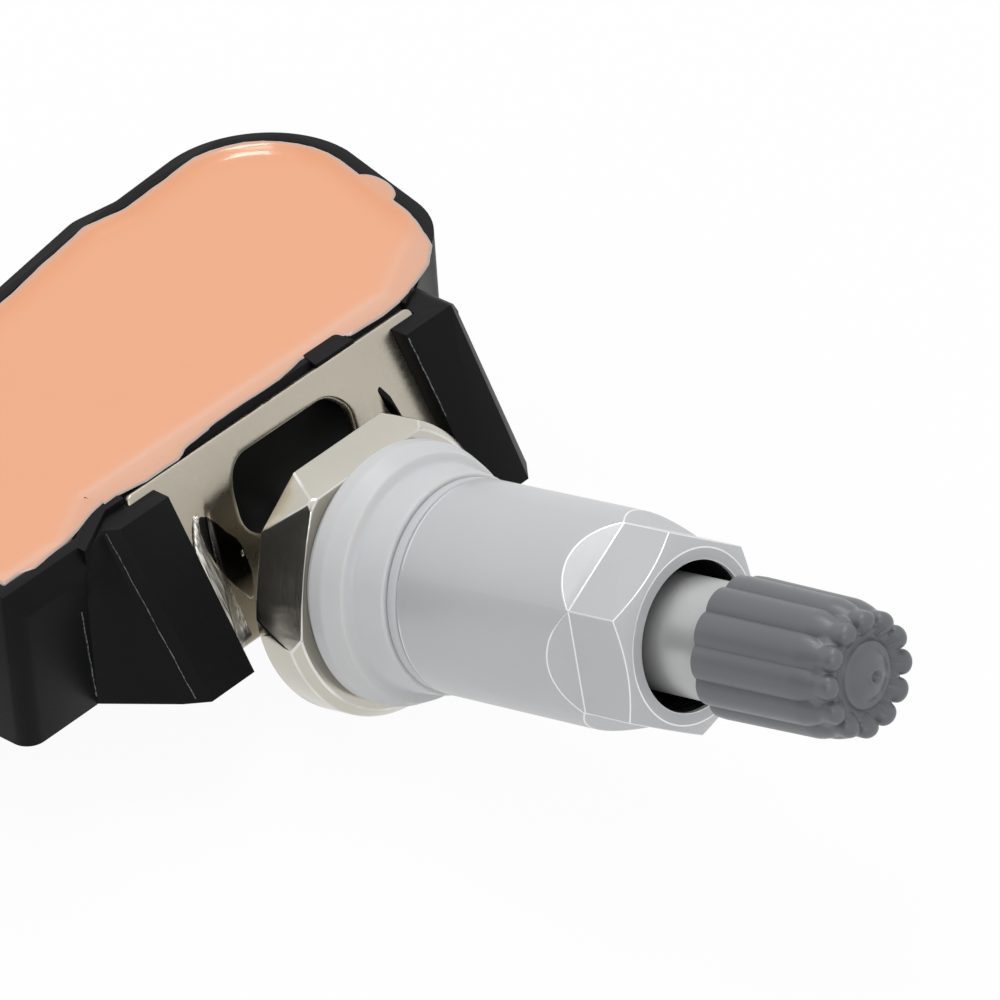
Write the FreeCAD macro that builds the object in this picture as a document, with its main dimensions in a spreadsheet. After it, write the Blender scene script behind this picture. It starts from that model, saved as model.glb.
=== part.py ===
import FreeCAD, Part
import math
import os
import Sketcher

# Tyre pressure sensor with a clamp-in valve, millimetres.
# X runs along the case, Y points from the valve to the back of the case, Z points out of the potting.
# The origin is where the stem axis meets the front face of the stem's flange, which clamps on the rim.

Vector = FreeCAD.Vector
os.makedirs("parts", exist_ok=True)
doc = FreeCAD.newDocument("tyre_pressure_sensor")
sheet = doc.addObject("Spreadsheet::Sheet", "Sizes")

# Driving sizes: one name and one value each
SIZES = {
    # Case: outline corners seen from above, with the radius of each corner
    "case_top": 9.73,
    "case_depth": 12.33,
    "case_wall": 1.1,
    "case_floor_thick": 1.2,
    "front_wall_place": 11.0,
    "front_wall_thick": 1.8,
    "front_wall_left": 17.0,
    "front_wall_right": 15.0,
    "right_shoulder_reach": 14.0,
    "right_nose_reach": 24.2,
    "right_nose_place": 16.35,
    "back_right_reach": 29.9,
    "back_right_place": 38.5,
    "right_waist_reach": 12.2,
    "right_waist_place": 37.1,
    "mid_swell_reach": 8.4,
    "mid_swell_place": 37.75,
    "left_waist_reach": 8.5,
    "left_waist_place": 34.7,
    "left_swell_reach": 16.5,
    "left_swell_place": 35.9,
    "left_end_reach": 28.1,
    "back_left_place": 34.4,
    "left_lobe_front": 8.5,
    "left_lobe_inner": 21.4,
    "left_shoulder_reach": 16.5,
    "shoulder_round": 4.0,
    "nose_round": 7.0,
    "back_right_round": 8.2,
    "back_left_round": 8.5,
    "waist_round": 3.0,
    "left_waist_round": 9.0,
    "left_swell_round": 5.0,
    "left_front_round": 1.4,
    "lobe_wall_thick": 1.9,
    "lobe_bevel_depth": 1.0,
    "lobe_bevel_height": 1.8,
    "lobe_bevel_overlap": 0.6,
    # Cheeks: the two blocks that hold the bracket plate in their slots
    "cheek_inner": 12.2,
    "cheek_outer": 17.9,
    "cheek_top_drop": 0.5,
    "cheek_proud": 1.25,
    "cheek_back_place": 15.6,
    "cheek_foot_bevel": 1.4,
    "cheek_head_bevel": 0.9,
    "left_flare_place": 8.6,
    "right_flare_place": 9.4,
    # Bracket: leaning plate with a land that is square to the stem
    "sheet_thick": 0.9,
    "slot_clearance": 0.05,
    "plate_lean": 60.2,
    "plate_top_place": 10.88,
    "plate_half_width": 14.6,
    "plate_length": 13.4,
    "plate_corner_round": 0.6,
    "bend_drop": 3.6,
    "land_half_width": 9.0,
    "land_length": 11.4,
    "web_length": 8.55,
    "tongue_half_width": 5.8,
    "tongue_length": 14.0,
    "tongue_round": 3.5,
    "window_half_width": 6.05,
    "window_start": 1.95,
    "window_end": 8.0,
    "window_round": 2.4,
    "land_hole_clearance": 0.1,
    # Stem: flange, neck, seal seat, threaded tube and bores, all along the stem axis
    "stem_tilt": 12.56,
    "flange_radius": 10.45,
    "flange_thick": 3.5,
    "flange_face_radius": 9.85,
    "flange_face_bevel": 0.8,
    "flange_back_round": 0.3,
    "top_flat_front": 8.35,
    "top_flat_back": 9.1,
    "top_flat_turn": 0.0,
    "shoulder_flat_front": 10.14,
    "shoulder_flat_back": 9.76,
    "shoulder_flat_turn": 31.0,
    "side_flat_front": 8.95,
    "side_flat_back": 10.0,
    "side_flat_turn": 65.0,
    "neck_radius": 4.4,
    "seat_radius": 5.0,
    "seat_length": 5.8,
    "stem_radius": 4.1,
    "stem_length": 40.1,
    "stem_mouth_bevel": 0.5,
    "air_bore_radius": 1.3,
    "air_bore_start": 5.0,
    "core_bore_radius": 2.1,
    "core_bore_depth": 8.9,
    "core_bore_cone": 0.8,
    "vent_radius": 0.6,
    "vent_place": 4.4,
    "fixing_hole_radius": 1.5,
    "fixing_hole_depth": 2.0,
    # Seal, washer and collar nut
    "fit_gap": 0.04,
    "cut_overrun": 1.0,
    "seal_radius": 9.3,
    "seal_ring_thick": 3.3,
    "seal_bulge_height": 1.7,
    "seal_shoulder_radius": 8.8,
    "seal_ring_round": 0.8,
    "seal_neck_radius": 8.1,
    "seal_neck_start": 3.7,
    "seal_tip_radius": 7.75,
    "seal_length": 6.3,
    "washer_thick": 0.85,
    "washer_radius": 7.5,
    "nut_radius": 7.55,
    "nut_length": 20.67,
    "nut_rim_round": 0.3,
    "nut_thread_length": 7.0,
    "nut_bore_radius": 5.2,
    "nut_bore_bevel": 0.25,
    "nut_half_flats": 6.5,
    "nut_flat_length": 4.85,
    "nut_runout": 1.75,
    "nut_face_radius": 6.05,
    "nut_chamfer_angle": 30.0,
    "nut_turn": 54.7,
    "nut_sides": 6,
    # Cap and its gasket
    "cap_cover": 8.2,
    "cap_length": 11.7,
    "cap_body_radius": 4.62,
    "cap_shoulder_bevel": 0.7,
    "cap_rib_radius": 0.84,
    "cap_rib_circle": 4.13,
    "cap_rib_count": 12,
    "cap_rib_rise": 0.35,
    "cap_rib_bevel": 0.5,
    "cap_groove_radius": 2.7,
    "cap_groove_width": 0.7,
    "cap_groove_depth": 0.4,
    "cap_dome_radius": 1.9,
    "cap_dome_height": 0.5,
    "cap_mouth_bevel": 0.2,
    "gasket_thick": 0.9,
    "gasket_radius": 3.6,
    # Valve core
    "core_top_drop": 0.6,
    "core_barrel_depth": 6.7,
    "core_barrel_bore": 1.35,
    "core_bore_floor": 0.8,
    "core_nose_depth": 8.7,
    "core_nose_radius": 1.2,
    "core_seal_thick": 0.8,
    "core_slot_depth": 0.7,
    "core_slot_half_width": 0.95,
    "pin_radius": 0.4,
    "pin_clearance": 0.06,
    "pin_top_drop": 0.3,
    "pin_stroke": 1.2,
    "pin_collar_clearance": 0.07,
    "pin_collar_thick": 0.5,
    "pin_collar_drop": 1.6,
    "cup_radius": 1.0,
    "cup_thick": 0.7,
    "cup_seal_thick": 0.3,
    "spring_wire": 0.13,
    "spring_radius": 1.0,
    "spring_turns": 4,
    "spring_sides": 12,
    "spring_wire_sides": 6,
    # Fixing screw
    "screw_head_radius": 2.6,
    "screw_head_thick": 1.6,
    "screw_head_round": 0.4,
    "screw_length": 1.75,
    "screw_key_half": 1.0,
    "screw_key_depth": 1.0,
    "lock_washer_radius": 2.9,
    "lock_washer_thick": 0.5,
    # Inside the case
    "potting_drop": 0.25,
    "board_margin": 1.6,
    "board_thick": 1.0,
    "board_height": 4.4,
    "cell_radius": 10.0,
    "cell_thick": 3.2,
    "cell_lift": 0.4,
    "cell_rim_round": 0.4,
    "cell_reach": 14.2,
    "cell_place": 25.4,
    "tab_width": 4.0,
    "tab_thick": 0.2,
    "tab_overhang": 1.0,
    "sensor_inset": 11.1,
    "sensor_place": 21.0,
    "sensor_size": 5.0,
    "sensor_thick": 1.6,
    "port_radius": 0.8,
    "port_seal_radius": 2.2,
    "filter_radius": 1.9,
    "filter_thick": 0.3,
    "filter_recess": 0.4,
    "controller_size": 6.0,
    "controller_thick": 0.9,
    "controller_reach": 4.0,
    "controller_place": 24.0,
    "coil_length": 9.0,
    "coil_core": 2.2,
    "coil_end": 3.0,
    "coil_end_length": 1.2,
    "coil_inset": 11.1,
    "coil_place": 28.5,
    "crystal_length": 3.2,
    "crystal_width": 2.5,
    "crystal_thick": 0.8,
    "crystal_reach": 4.0,
    "crystal_place": 30.0,
    "capacitor_length": 1.6,
    "capacitor_width": 0.8,
    "capacitor_count": 4,
    "capacitor_pitch": 2.4,
    "capacitor_reach": 5.0,
    "capacitor_place": 18.0,
    "post_radius": 0.9,
    "left_post_reach": 23.0,
    "left_post_place": 14.0,
    "back_post_reach": 9.0,
    "back_post_place": 31.0,
    "front_post_reach": 1.5,
    "front_post_place": 15.5,
    "right_post_reach": 22.5,
    "right_post_place": 33.0,
}
for row, (alias, value) in enumerate(SIZES.items(), start=1):
    sheet.set("A%d" % row, alias)
    sheet.set("B%d" % row, str(value))
    sheet.setAlias("B%d" % row, alias)
doc.recompute()


# Places that several pieces share, worked out from the driving sizes
CASE_FLOOR = "(Sizes.case_top - Sizes.case_depth)"
CAVITY_FLOOR = "(Sizes.case_top - Sizes.case_depth + Sizes.case_floor_thick)"
POTTING_TOP = "(Sizes.case_top - Sizes.potting_drop)"
CHEEK_TOP = "(Sizes.case_top - Sizes.cheek_top_drop)"
BEND_Y = "(Sizes.plate_top_place - Sizes.bend_drop * cos(Sizes.plate_lean))"
BEND_Z = "(Sizes.case_top - Sizes.bend_drop * sin(Sizes.plate_lean))"
LAND_DEPTH = "(%s * cos(Sizes.stem_tilt) - %s * sin(Sizes.stem_tilt))" % (BEND_Y, BEND_Z)
WASHER_BACK = "(Sizes.seal_length + Sizes.fit_gap)"
NUT_BACK = "(Sizes.seal_length + Sizes.washer_thick + 2 * Sizes.fit_gap)"
NUT_FRONT = "(%s + Sizes.nut_length)" % NUT_BACK
CAP_BACK = "(Sizes.stem_length - Sizes.cap_cover)"
CAP_FRONT = "(%s + Sizes.cap_length)" % CAP_BACK
GASKET_BACK = "(Sizes.stem_length + Sizes.fit_gap)"
GASKET_FRONT = "(Sizes.stem_length + Sizes.fit_gap + Sizes.gasket_thick)"
CORE_TOP = "(Sizes.stem_length - Sizes.core_top_drop)"
CORE_BORE_START = "(Sizes.stem_length - Sizes.core_bore_depth)"
BARREL_START = "(Sizes.stem_length - Sizes.core_barrel_depth)"
NOSE_START = "(Sizes.stem_length - Sizes.core_nose_depth)"
CORE_SEAT = "(%s + Sizes.core_bore_floor)" % BARREL_START
PIN_COLLAR_TOP = "(%s - Sizes.pin_collar_drop)" % CORE_TOP
PIN_COLLAR_UNDER = "(%s - Sizes.pin_collar_drop - Sizes.pin_collar_thick)" % CORE_TOP
CUP_SEAL_TOP = "(%s - Sizes.fit_gap)" % NOSE_START
CUP_TOP = "(%s - Sizes.fit_gap - Sizes.cup_seal_thick)" % NOSE_START
LAND_BACK = "(%s + Sizes.sheet_thick)" % LAND_DEPTH
HEAD_UNDER = "(%s + Sizes.sheet_thick + Sizes.lock_washer_thick)" % LAND_DEPTH
BOARD_UNDER = "(%s + Sizes.board_height)" % CAVITY_FLOOR
BOARD_TOP = "(%s + Sizes.board_thick)" % BOARD_UNDER
CELL_UNDER = "(%s + Sizes.cell_lift)" % CAVITY_FLOOR
CELL_TOP = "(%s + Sizes.cell_thick)" % CELL_UNDER


def value(expression):
    """Work out an expression over the sheet's names."""
    return float(sheet.evalExpression(str(expression)))


def tie(thing, target, expression):
    """Drive a property of a document object by an expression."""
    thing.setExpression(target, str(expression))


def outline(sketch, corners):
    """Draw a closed outline: each corner is an x, a y and, where it is round, a radius."""
    count = len(corners)
    places = [(value(corner[0]), value(corner[1])) for corner in corners]
    radii = [value(corner[2]) if len(corner) > 2 else 0.0 for corner in corners]
    starts = []
    ends = []
    for index, (x, y) in enumerate(places):
        point = Vector(x, y, 0)
        before = (Vector(*places[index - 1], 0) - point).normalize()
        after = (Vector(*places[(index + 1) % count], 0) - point).normalize()
        cut_back = radii[index] / math.tan(before.getAngle(after) / 2) if radii[index] else 0.0
        starts.append(point + before * cut_back)
        ends.append(point + after * cut_back)
    lines = []
    for index in range(count):
        line = Part.LineSegment(ends[index], starts[(index + 1) % count])
        lines.append(sketch.addGeometry(line, False))
    for index, (x, y) in enumerate(places):
        arriving = lines[index - 1]
        leaving = lines[index]
        if radii[index]:
            ends_of_arc = (starts[index], ends[index])
            arc, vertex = round_corner(sketch, Vector(x, y, 0), ends_of_arc, arriving, leaving)
            number = sketch.addConstraint(Sketcher.Constraint("Radius", arc, radii[index]))
            tie(sketch, "Constraints[%d]" % number, corners[index][2])
        else:
            sketch.addConstraint(Sketcher.Constraint("Coincident", arriving, 2, leaving, 1))
            vertex = leaving
        pin_point(sketch, vertex, 1, (x, y), corners[index])


def round_corner(sketch, point, ends_of_arc, arriving, leaving):
    """Draw the arc of one round corner and the sharp point that it replaces."""
    start, end = ends_of_arc
    before = (start - point).normalize()
    after = (end - point).normalize()
    half = before.getAngle(after) / 2
    middle = (before + after).normalize()
    radius = (start - point).Length * math.tan(half)
    centre = point + middle * (radius / math.sin(half))
    bulge = centre - middle * radius
    anticlockwise = (start - centre).cross(end - centre).z > 0
    bow = Part.Arc(start, bulge, end) if anticlockwise else Part.Arc(end, bulge, start)
    arc = sketch.addGeometry(bow, False)
    sharp = sketch.addGeometry(Part.Point(point), True)
    first = 1 if anticlockwise else 2
    sketch.addConstraint(Sketcher.Constraint("Tangent", arriving, 2, arc, first))
    sketch.addConstraint(Sketcher.Constraint("Tangent", leaving, 1, arc, 3 - first))
    sketch.addConstraint(Sketcher.Constraint("PointOnObject", sharp, 1, arriving))
    sketch.addConstraint(Sketcher.Constraint("PointOnObject", sharp, 1, leaving))
    return arc, sharp


def pin_point(sketch, element, end, place, corner):
    """Tie one point of a sketch element to its two expressions."""
    for axis, kind, distance, expression in (
        (-2, "DistanceX", place[0], corner[0]),
        (-1, "DistanceY", place[1], corner[1]),
    ):
        if abs(distance) < 1e-9:
            sketch.addConstraint(Sketcher.Constraint("PointOnObject", element, end, axis))
        else:
            rule = Sketcher.Constraint(kind, -1, 1, element, end, distance)
            tie(sketch, "Constraints[%d]" % sketch.addConstraint(rule), expression)


def circle(sketch, x, y, radius):
    """Draw a circle from its centre and radius."""
    round_line = Part.Circle(Vector(value(x), value(y), 0), Vector(0, 0, 1), value(radius))
    element = sketch.addGeometry(round_line, False)
    pin_point(sketch, element, 3, (value(x), value(y)), (x, y))
    number = sketch.addConstraint(Sketcher.Constraint("Radius", element, value(radius)))
    tie(sketch, "Constraints[%d]" % number, radius)


def free_sketch(name, corners, place=None):
    """Outline on its own plane in space."""
    sketch = doc.addObject("Sketcher::SketchObject", name)
    outline(sketch, corners)
    if place is not None:
        sketch.Placement = place
    return sketch


def plan_sketch(name, corners, height):
    """Outline seen from above, at a height."""
    sketch = free_sketch(name, corners)
    tie(sketch, "Placement.Base.z", height)
    return sketch


def side_sketch(name, corners):
    """Outline in the plane of Y and Z, seen from the end of the case."""
    turn_upright = FreeCAD.Rotation(Vector(1, 1, 1), 120)
    return free_sketch(name, corners, FreeCAD.Placement(Vector(0, 0, 0), turn_upright))


def extruded(name, profile, forward, backward=0):
    """Extrude a profile along its own normal, forward and backward."""
    solid = doc.addObject("Part::Extrusion", name)
    solid.Base = profile
    solid.DirMode = "Normal"
    solid.Solid = True
    tie(solid, "LengthFwd", forward)
    tie(solid, "LengthRev", backward)
    return solid


def joined(name, pieces):
    """Fuse solids into one."""
    fusion = doc.addObject("Part::MultiFuse", name)
    fusion.Shapes = pieces
    fusion.Refine = True
    return fusion


def cut(name, base, tool):
    """Cut one solid from another."""
    difference = doc.addObject("Part::Cut", name)
    difference.Base = base
    difference.Tool = tool
    difference.Refine = True
    return difference


def box(name, sizes, corner):
    """Box from its three sizes and its lowest corner."""
    block = doc.addObject("Part::Box", name)
    for target, expression in zip(("Length", "Width", "Height"), sizes):
        tie(block, target, expression)
    for axis, expression in zip("xyz", corner):
        tie(block, "Placement.Base." + axis, expression)
    return block


def centred_box(name, sizes, middle, foot):
    """Box from its three sizes, the middle of its foot and the foot's height."""
    x = "%s - (%s) / 2" % (middle[0], sizes[0])
    y = "%s - (%s) / 2" % (middle[1], sizes[1])
    return box(name, sizes, (x, y, foot))


def upright(name, radius, height, foot):
    """Upright cylinder from its radius, height and the centre of its foot."""
    post = doc.addObject("Part::Cylinder", name)
    tie(post, "Radius", radius)
    tie(post, "Height", height)
    for axis, expression in zip("xyz", foot):
        tie(post, "Placement.Base." + axis, expression)
    return post


def base_feature(body, role):
    """One of a body's own origin planes or axes."""
    return [feature for feature in body.Origin.OriginFeatures if feature.Role == role][0]


def body_sketch(body, name, role):
    """Empty sketch on one of a body's own origin planes."""
    sketch = body.newObject("Sketcher::SketchObject", name)
    sketch.AttachmentSupport = [(base_feature(body, role), "")]
    sketch.MapMode = "FlatFace"
    return sketch


def on_stem(body, turn=0.0):
    """Lay a body's own Z along the stem, after a turn about it."""
    lean = FreeCAD.Rotation(Vector(1, 0, 0), 90 - value("Sizes.stem_tilt"))
    own_turn = FreeCAD.Rotation(Vector(0, 0, 1), turn)
    body.Placement = FreeCAD.Placement(Vector(0, 0, 0), lean * own_turn)


def turned(name, corners):
    """Turned piece on the stem axis: each corner is a radius and a distance along the axis."""
    body = doc.addObject("PartDesign::Body", name)
    profile = body_sketch(body, name + "_profile", "XZ_Plane")
    outline(profile, corners)
    turn = body.newObject("PartDesign::Revolution", name + "_turn")
    turn.Profile = profile
    turn.ReferenceAxis = (profile, ["V_Axis"])
    turn.Angle = 360
    body.Tip = turn
    on_stem(body)
    return body


def pocket(body, name, role, corners, length, turn=0.0):
    """Cut an outline out of a body, the same length both ways from its turned plane."""
    profile = body_sketch(body, name + "_profile", role)
    own_turn = FreeCAD.Rotation(Vector(0, 1, 0), turn)
    profile.AttachmentOffset = FreeCAD.Placement(Vector(0, 0, 0), own_turn)
    outline(profile, corners)
    doc.recompute()
    hollow = body.newObject("PartDesign::Pocket", name)
    hollow.Profile = profile
    hollow.Midplane = True
    tie(hollow, "Length", length)
    body.Tip = hollow
    return hollow


def around(body, name, feature, count, angle=360, backward=False):
    """Repeat a feature about the body's own Z axis."""
    pattern = body.newObject("PartDesign::PolarPattern", name)
    pattern.Originals = [feature]
    pattern.Axis = (base_feature(body, "Z_Axis"), [""])
    pattern.Reversed = backward
    tie(pattern, "Angle", angle)
    tie(pattern, "Occurrences", count)
    body.Tip = pattern
    return pattern


# Case: wall block, cheeks, cavity, slot for the bracket plate, pressure port
CASE_OUTLINE = [
    ("0 - Sizes.left_end_reach", "Sizes.left_lobe_front", "Sizes.left_front_round"),
    ("0 - Sizes.left_lobe_inner", "Sizes.left_lobe_front"),
    ("0 - Sizes.left_shoulder_reach", "Sizes.front_wall_place"),
    ("Sizes.right_shoulder_reach", "Sizes.front_wall_place", "Sizes.shoulder_round"),
    ("Sizes.right_nose_reach", "Sizes.right_nose_place", "Sizes.nose_round"),
    ("Sizes.back_right_reach", "Sizes.back_right_place", "Sizes.back_right_round"),
    ("Sizes.right_waist_reach", "Sizes.right_waist_place", "Sizes.waist_round"),
    ("Sizes.mid_swell_reach", "Sizes.mid_swell_place", "Sizes.waist_round"),
    ("0 - Sizes.left_waist_reach", "Sizes.left_waist_place", "Sizes.left_waist_round"),
    ("0 - Sizes.left_swell_reach", "Sizes.left_swell_place", "Sizes.left_swell_round"),
    ("0 - Sizes.left_end_reach", "Sizes.back_left_place", "Sizes.back_left_round"),
]
case_outline = plan_sketch("case_outline", CASE_OUTLINE, CASE_FLOOR)
case_block = extruded("case_block", case_outline, "Sizes.case_depth")
cavity_outline = doc.addObject("Part::Offset2D", "cavity_outline")
cavity_outline.Source = case_outline
tie(cavity_outline, "Value", "0 - Sizes.case_wall")
cavity_block = extruded("cavity_block", cavity_outline, "Sizes.case_depth")
tie(cavity_block, "Placement.Base.z", "Sizes.case_floor_thick")
front_land = box(
    "front_land",
    (
        "Sizes.front_wall_left + Sizes.front_wall_right",
        "Sizes.front_wall_thick",
        "Sizes.case_depth + Sizes.case_wall + Sizes.case_floor_thick",
    ),
    ("0 - Sizes.front_wall_left", "Sizes.front_wall_place", CASE_FLOOR),
)
lobe_land = box(
    "lobe_land",
    (
        "Sizes.left_end_reach - Sizes.left_shoulder_reach",
        "Sizes.lobe_wall_thick",
        "Sizes.case_depth + Sizes.case_wall + Sizes.case_floor_thick",
    ),
    ("0 - Sizes.left_end_reach", "Sizes.left_lobe_front", CASE_FLOOR),
)
case_cavity = cut("case_cavity", cavity_block, joined("front_lands", [front_land, lobe_land]))


def cheek_section(name, side, height, bevel, flare, flare_place):
    """Level section through a cheek, whose face leans with the plate."""
    face = "(Sizes.plate_top_place - (Sizes.case_top - %s) / tan(Sizes.plate_lean)" % height
    face += " - Sizes.cheek_proud / sin(Sizes.plate_lean))"
    outer = "%d * Sizes.cheek_outer" % side
    back = "%d * (Sizes.cheek_outer + %s)" % (side, flare)
    corners = [
        ("%d * Sizes.cheek_inner" % side, face),
        ("%d * (Sizes.cheek_outer - %s)" % (side, bevel), face),
        (outer, "%s + %s" % (face, bevel)),
        (back, flare_place),
        (back, "Sizes.cheek_back_place"),
        ("%d * Sizes.cheek_inner" % side, "Sizes.cheek_back_place"),
    ]
    return plan_sketch(name, corners, height)


def cheek(name, side, flare, flare_place):
    """Cheek block lofted from its foot to its head."""
    loft = doc.addObject("Part::Loft", name)
    loft.Sections = [
        cheek_section(
            name + "_foot", side, CASE_FLOOR, "Sizes.cheek_foot_bevel", flare, flare_place
        ),
        cheek_section(
            name + "_head", side, CHEEK_TOP, "Sizes.cheek_head_bevel", flare, flare_place
        ),
    ]
    loft.Solid = True
    loft.Ruled = True
    return loft


left_cheek = cheek(
    "left_cheek", -1, "(Sizes.left_lobe_inner - Sizes.cheek_outer)", "Sizes.left_flare_place"
)
right_cheek = cheek("right_cheek", 1, "Sizes.slot_clearance", "Sizes.right_flare_place")

# Slot: the plate's own leaning plane, wider by the clearance on every side
plate_rotation = FreeCAD.Rotation(Vector(1, 0, 0), value("Sizes.plate_lean"))
plate_edge = Vector(0, value("Sizes.plate_top_place"), value("Sizes.case_top"))
plate_place = FreeCAD.Placement(plate_edge, plate_rotation)
slot_profile = free_sketch(
    "slot_profile",
    [
        ("0 - Sizes.plate_half_width - Sizes.slot_clearance", "Sizes.case_wall"),
        (
            "0 - Sizes.plate_half_width - Sizes.slot_clearance",
            "0 - Sizes.plate_length - Sizes.slot_clearance",
        ),
        (
            "Sizes.plate_half_width + Sizes.slot_clearance",
            "0 - Sizes.plate_length - Sizes.slot_clearance",
        ),
        ("Sizes.plate_half_width + Sizes.slot_clearance", "Sizes.case_wall"),
    ],
    plate_place,
)
plate_slot = extruded(
    "plate_slot", slot_profile, "Sizes.slot_clearance", "Sizes.sheet_thick + Sizes.slot_clearance"
)
lobe_bevel = extruded(
    "lobe_bevel",
    side_sketch(
        "lobe_bevel_profile",
        [
            ("Sizes.left_lobe_front - Sizes.cut_overrun", "Sizes.case_top - Sizes.lobe_bevel_height"),
            ("Sizes.left_lobe_front", "Sizes.case_top - Sizes.lobe_bevel_height"),
            ("Sizes.left_lobe_front + Sizes.lobe_bevel_depth", "Sizes.case_top"),
            ("Sizes.left_lobe_front + Sizes.lobe_bevel_depth", "Sizes.case_top + Sizes.cut_overrun"),
            ("Sizes.left_lobe_front - Sizes.cut_overrun", "Sizes.case_top + Sizes.cut_overrun"),
        ],
    ),
    "Sizes.lobe_bevel_overlap - Sizes.left_lobe_inner",
    "Sizes.left_end_reach + Sizes.cut_overrun",
)
SENSOR_SPOT = ("(Sizes.sensor_inset - Sizes.left_end_reach)", "Sizes.sensor_place")
port_hole = upright(
    "port_hole", "Sizes.port_radius", "Sizes.case_floor_thick", SENSOR_SPOT + (CASE_FLOOR,)
)
filter_recess = upright(
    "filter_recess",
    "Sizes.filter_radius + Sizes.slot_clearance",
    "Sizes.filter_recess",
    SENSOR_SPOT + (CASE_FLOOR,),
)
case_solid = joined("case_solid", [case_block, left_cheek, right_cheek])
case_hollows = joined(
    "case_hollows", [case_cavity, plate_slot, lobe_bevel, port_hole, filter_recess]
)
case_shell = cut("case_shell", case_solid, case_hollows)
POST_SPOTS = (
    ("0 - Sizes.left_post_reach", "Sizes.left_post_place"),
    ("0 - Sizes.back_post_reach", "Sizes.back_post_place"),
    ("Sizes.front_post_reach", "Sizes.front_post_place"),
    ("Sizes.right_post_reach", "Sizes.right_post_place"),
)
posts = [
    upright("post_%d" % number, "Sizes.post_radius", "Sizes.board_height", (x, y, CAVITY_FLOOR))
    for number, (x, y) in enumerate(POST_SPOTS, start=1)
]
housing_case = joined("housing_case", [case_shell] + posts)

# Bracket plate: leaning plate, pressed land square to the stem, and the webs that join them
bracket_blank = extruded(
    "bracket_blank",
    free_sketch(
        "bracket_outline",
        [
            ("0 - Sizes.plate_half_width", "0", "Sizes.plate_corner_round"),
            ("0 - Sizes.plate_half_width", "0 - Sizes.plate_length", "Sizes.plate_corner_round"),
            ("0 - Sizes.land_half_width", "0 - Sizes.plate_length"),
            ("0 - Sizes.land_half_width", "0 - Sizes.bend_drop"),
            ("Sizes.land_half_width", "0 - Sizes.bend_drop"),
            ("Sizes.land_half_width", "0 - Sizes.plate_length"),
            ("Sizes.plate_half_width", "0 - Sizes.plate_length", "Sizes.plate_corner_round"),
            ("Sizes.plate_half_width", "0", "Sizes.plate_corner_round"),
        ],
        plate_place,
    ),
    0,
    "Sizes.sheet_thick",
)
land_place = FreeCAD.Placement(
    Vector(0, value(BEND_Y), value(BEND_Z)),
    FreeCAD.Rotation(Vector(1, 0, 0), 90 - value("Sizes.stem_tilt")),
)
bracket_land = extruded(
    "bracket_land",
    free_sketch(
        "land_outline",
        [
            ("0 - Sizes.land_half_width", "0"),
            ("0 - Sizes.land_half_width", "0 - Sizes.land_length", "Sizes.tongue_round"),
            ("0 - Sizes.tongue_half_width", "0 - Sizes.tongue_length", "Sizes.tongue_round"),
            ("Sizes.tongue_half_width", "0 - Sizes.tongue_length", "Sizes.tongue_round"),
            ("Sizes.land_half_width", "0 - Sizes.land_length", "Sizes.tongue_round"),
            ("Sizes.land_half_width", "0"),
        ],
        land_place,
    ),
    0,
    "Sizes.sheet_thick",
)
WEB_END_Y = "(%s - Sizes.web_length * sin(Sizes.stem_tilt))" % BEND_Y
WEB_END_Z = "(%s - Sizes.web_length * cos(Sizes.stem_tilt))" % BEND_Z
web_profile = side_sketch(
    "web_profile",
    [
        (BEND_Y, BEND_Z),
        (
            "%s - Sizes.web_length * cos(Sizes.plate_lean)" % BEND_Y,
            "%s - Sizes.web_length * sin(Sizes.plate_lean)" % BEND_Z,
        ),
        (
            "%s + Sizes.sheet_thick * cos(Sizes.stem_tilt)" % WEB_END_Y,
            "%s - Sizes.sheet_thick * sin(Sizes.stem_tilt)" % WEB_END_Z,
        ),
        (
            "%s + Sizes.sheet_thick * cos(Sizes.stem_tilt)" % BEND_Y,
            "%s - Sizes.sheet_thick * sin(Sizes.stem_tilt)" % BEND_Z,
        ),
    ],
)
web_block = extruded(
    "web_block", web_profile, "Sizes.land_half_width + Sizes.sheet_thick",
    "Sizes.land_half_width + Sizes.sheet_thick",
)
web_gap = extruded("web_gap", web_profile, "Sizes.land_half_width", "Sizes.land_half_width")
webs = cut("webs", web_block, web_gap)
bracket_window = extruded(
    "bracket_window",
    free_sketch(
        "window_outline",
        [
            ("0 - Sizes.window_half_width", "0 - Sizes.window_start", "Sizes.window_round"),
            ("0 - Sizes.window_half_width", "0 - Sizes.window_end", "Sizes.window_round"),
            ("Sizes.window_half_width", "0 - Sizes.window_end", "Sizes.window_round"),
            ("Sizes.window_half_width", "0 - Sizes.window_start", "Sizes.window_round"),
        ],
        plate_place,
    ),
    "Sizes.sheet_thick",
    "Sizes.sheet_thick * 4",
)
land_hole = doc.addObject("Part::Cylinder", "land_hole")
tie(land_hole, "Radius", "Sizes.fixing_hole_radius + Sizes.land_hole_clearance")
tie(land_hole, "Height", "Sizes.sheet_thick * 3")
land_hole.Placement = FreeCAD.Placement(
    land_place.Rotation.multVec(Vector(0, 0, 0 - value(LAND_DEPTH) - 2 * value("Sizes.sheet_thick"))),
    land_place.Rotation,
)
bracket_plate = cut(
    "bracket_plate",
    joined("bracket_sheet", [bracket_blank, bracket_land, webs]),
    joined("bracket_holes", [bracket_window, land_hole]),
)

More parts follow.
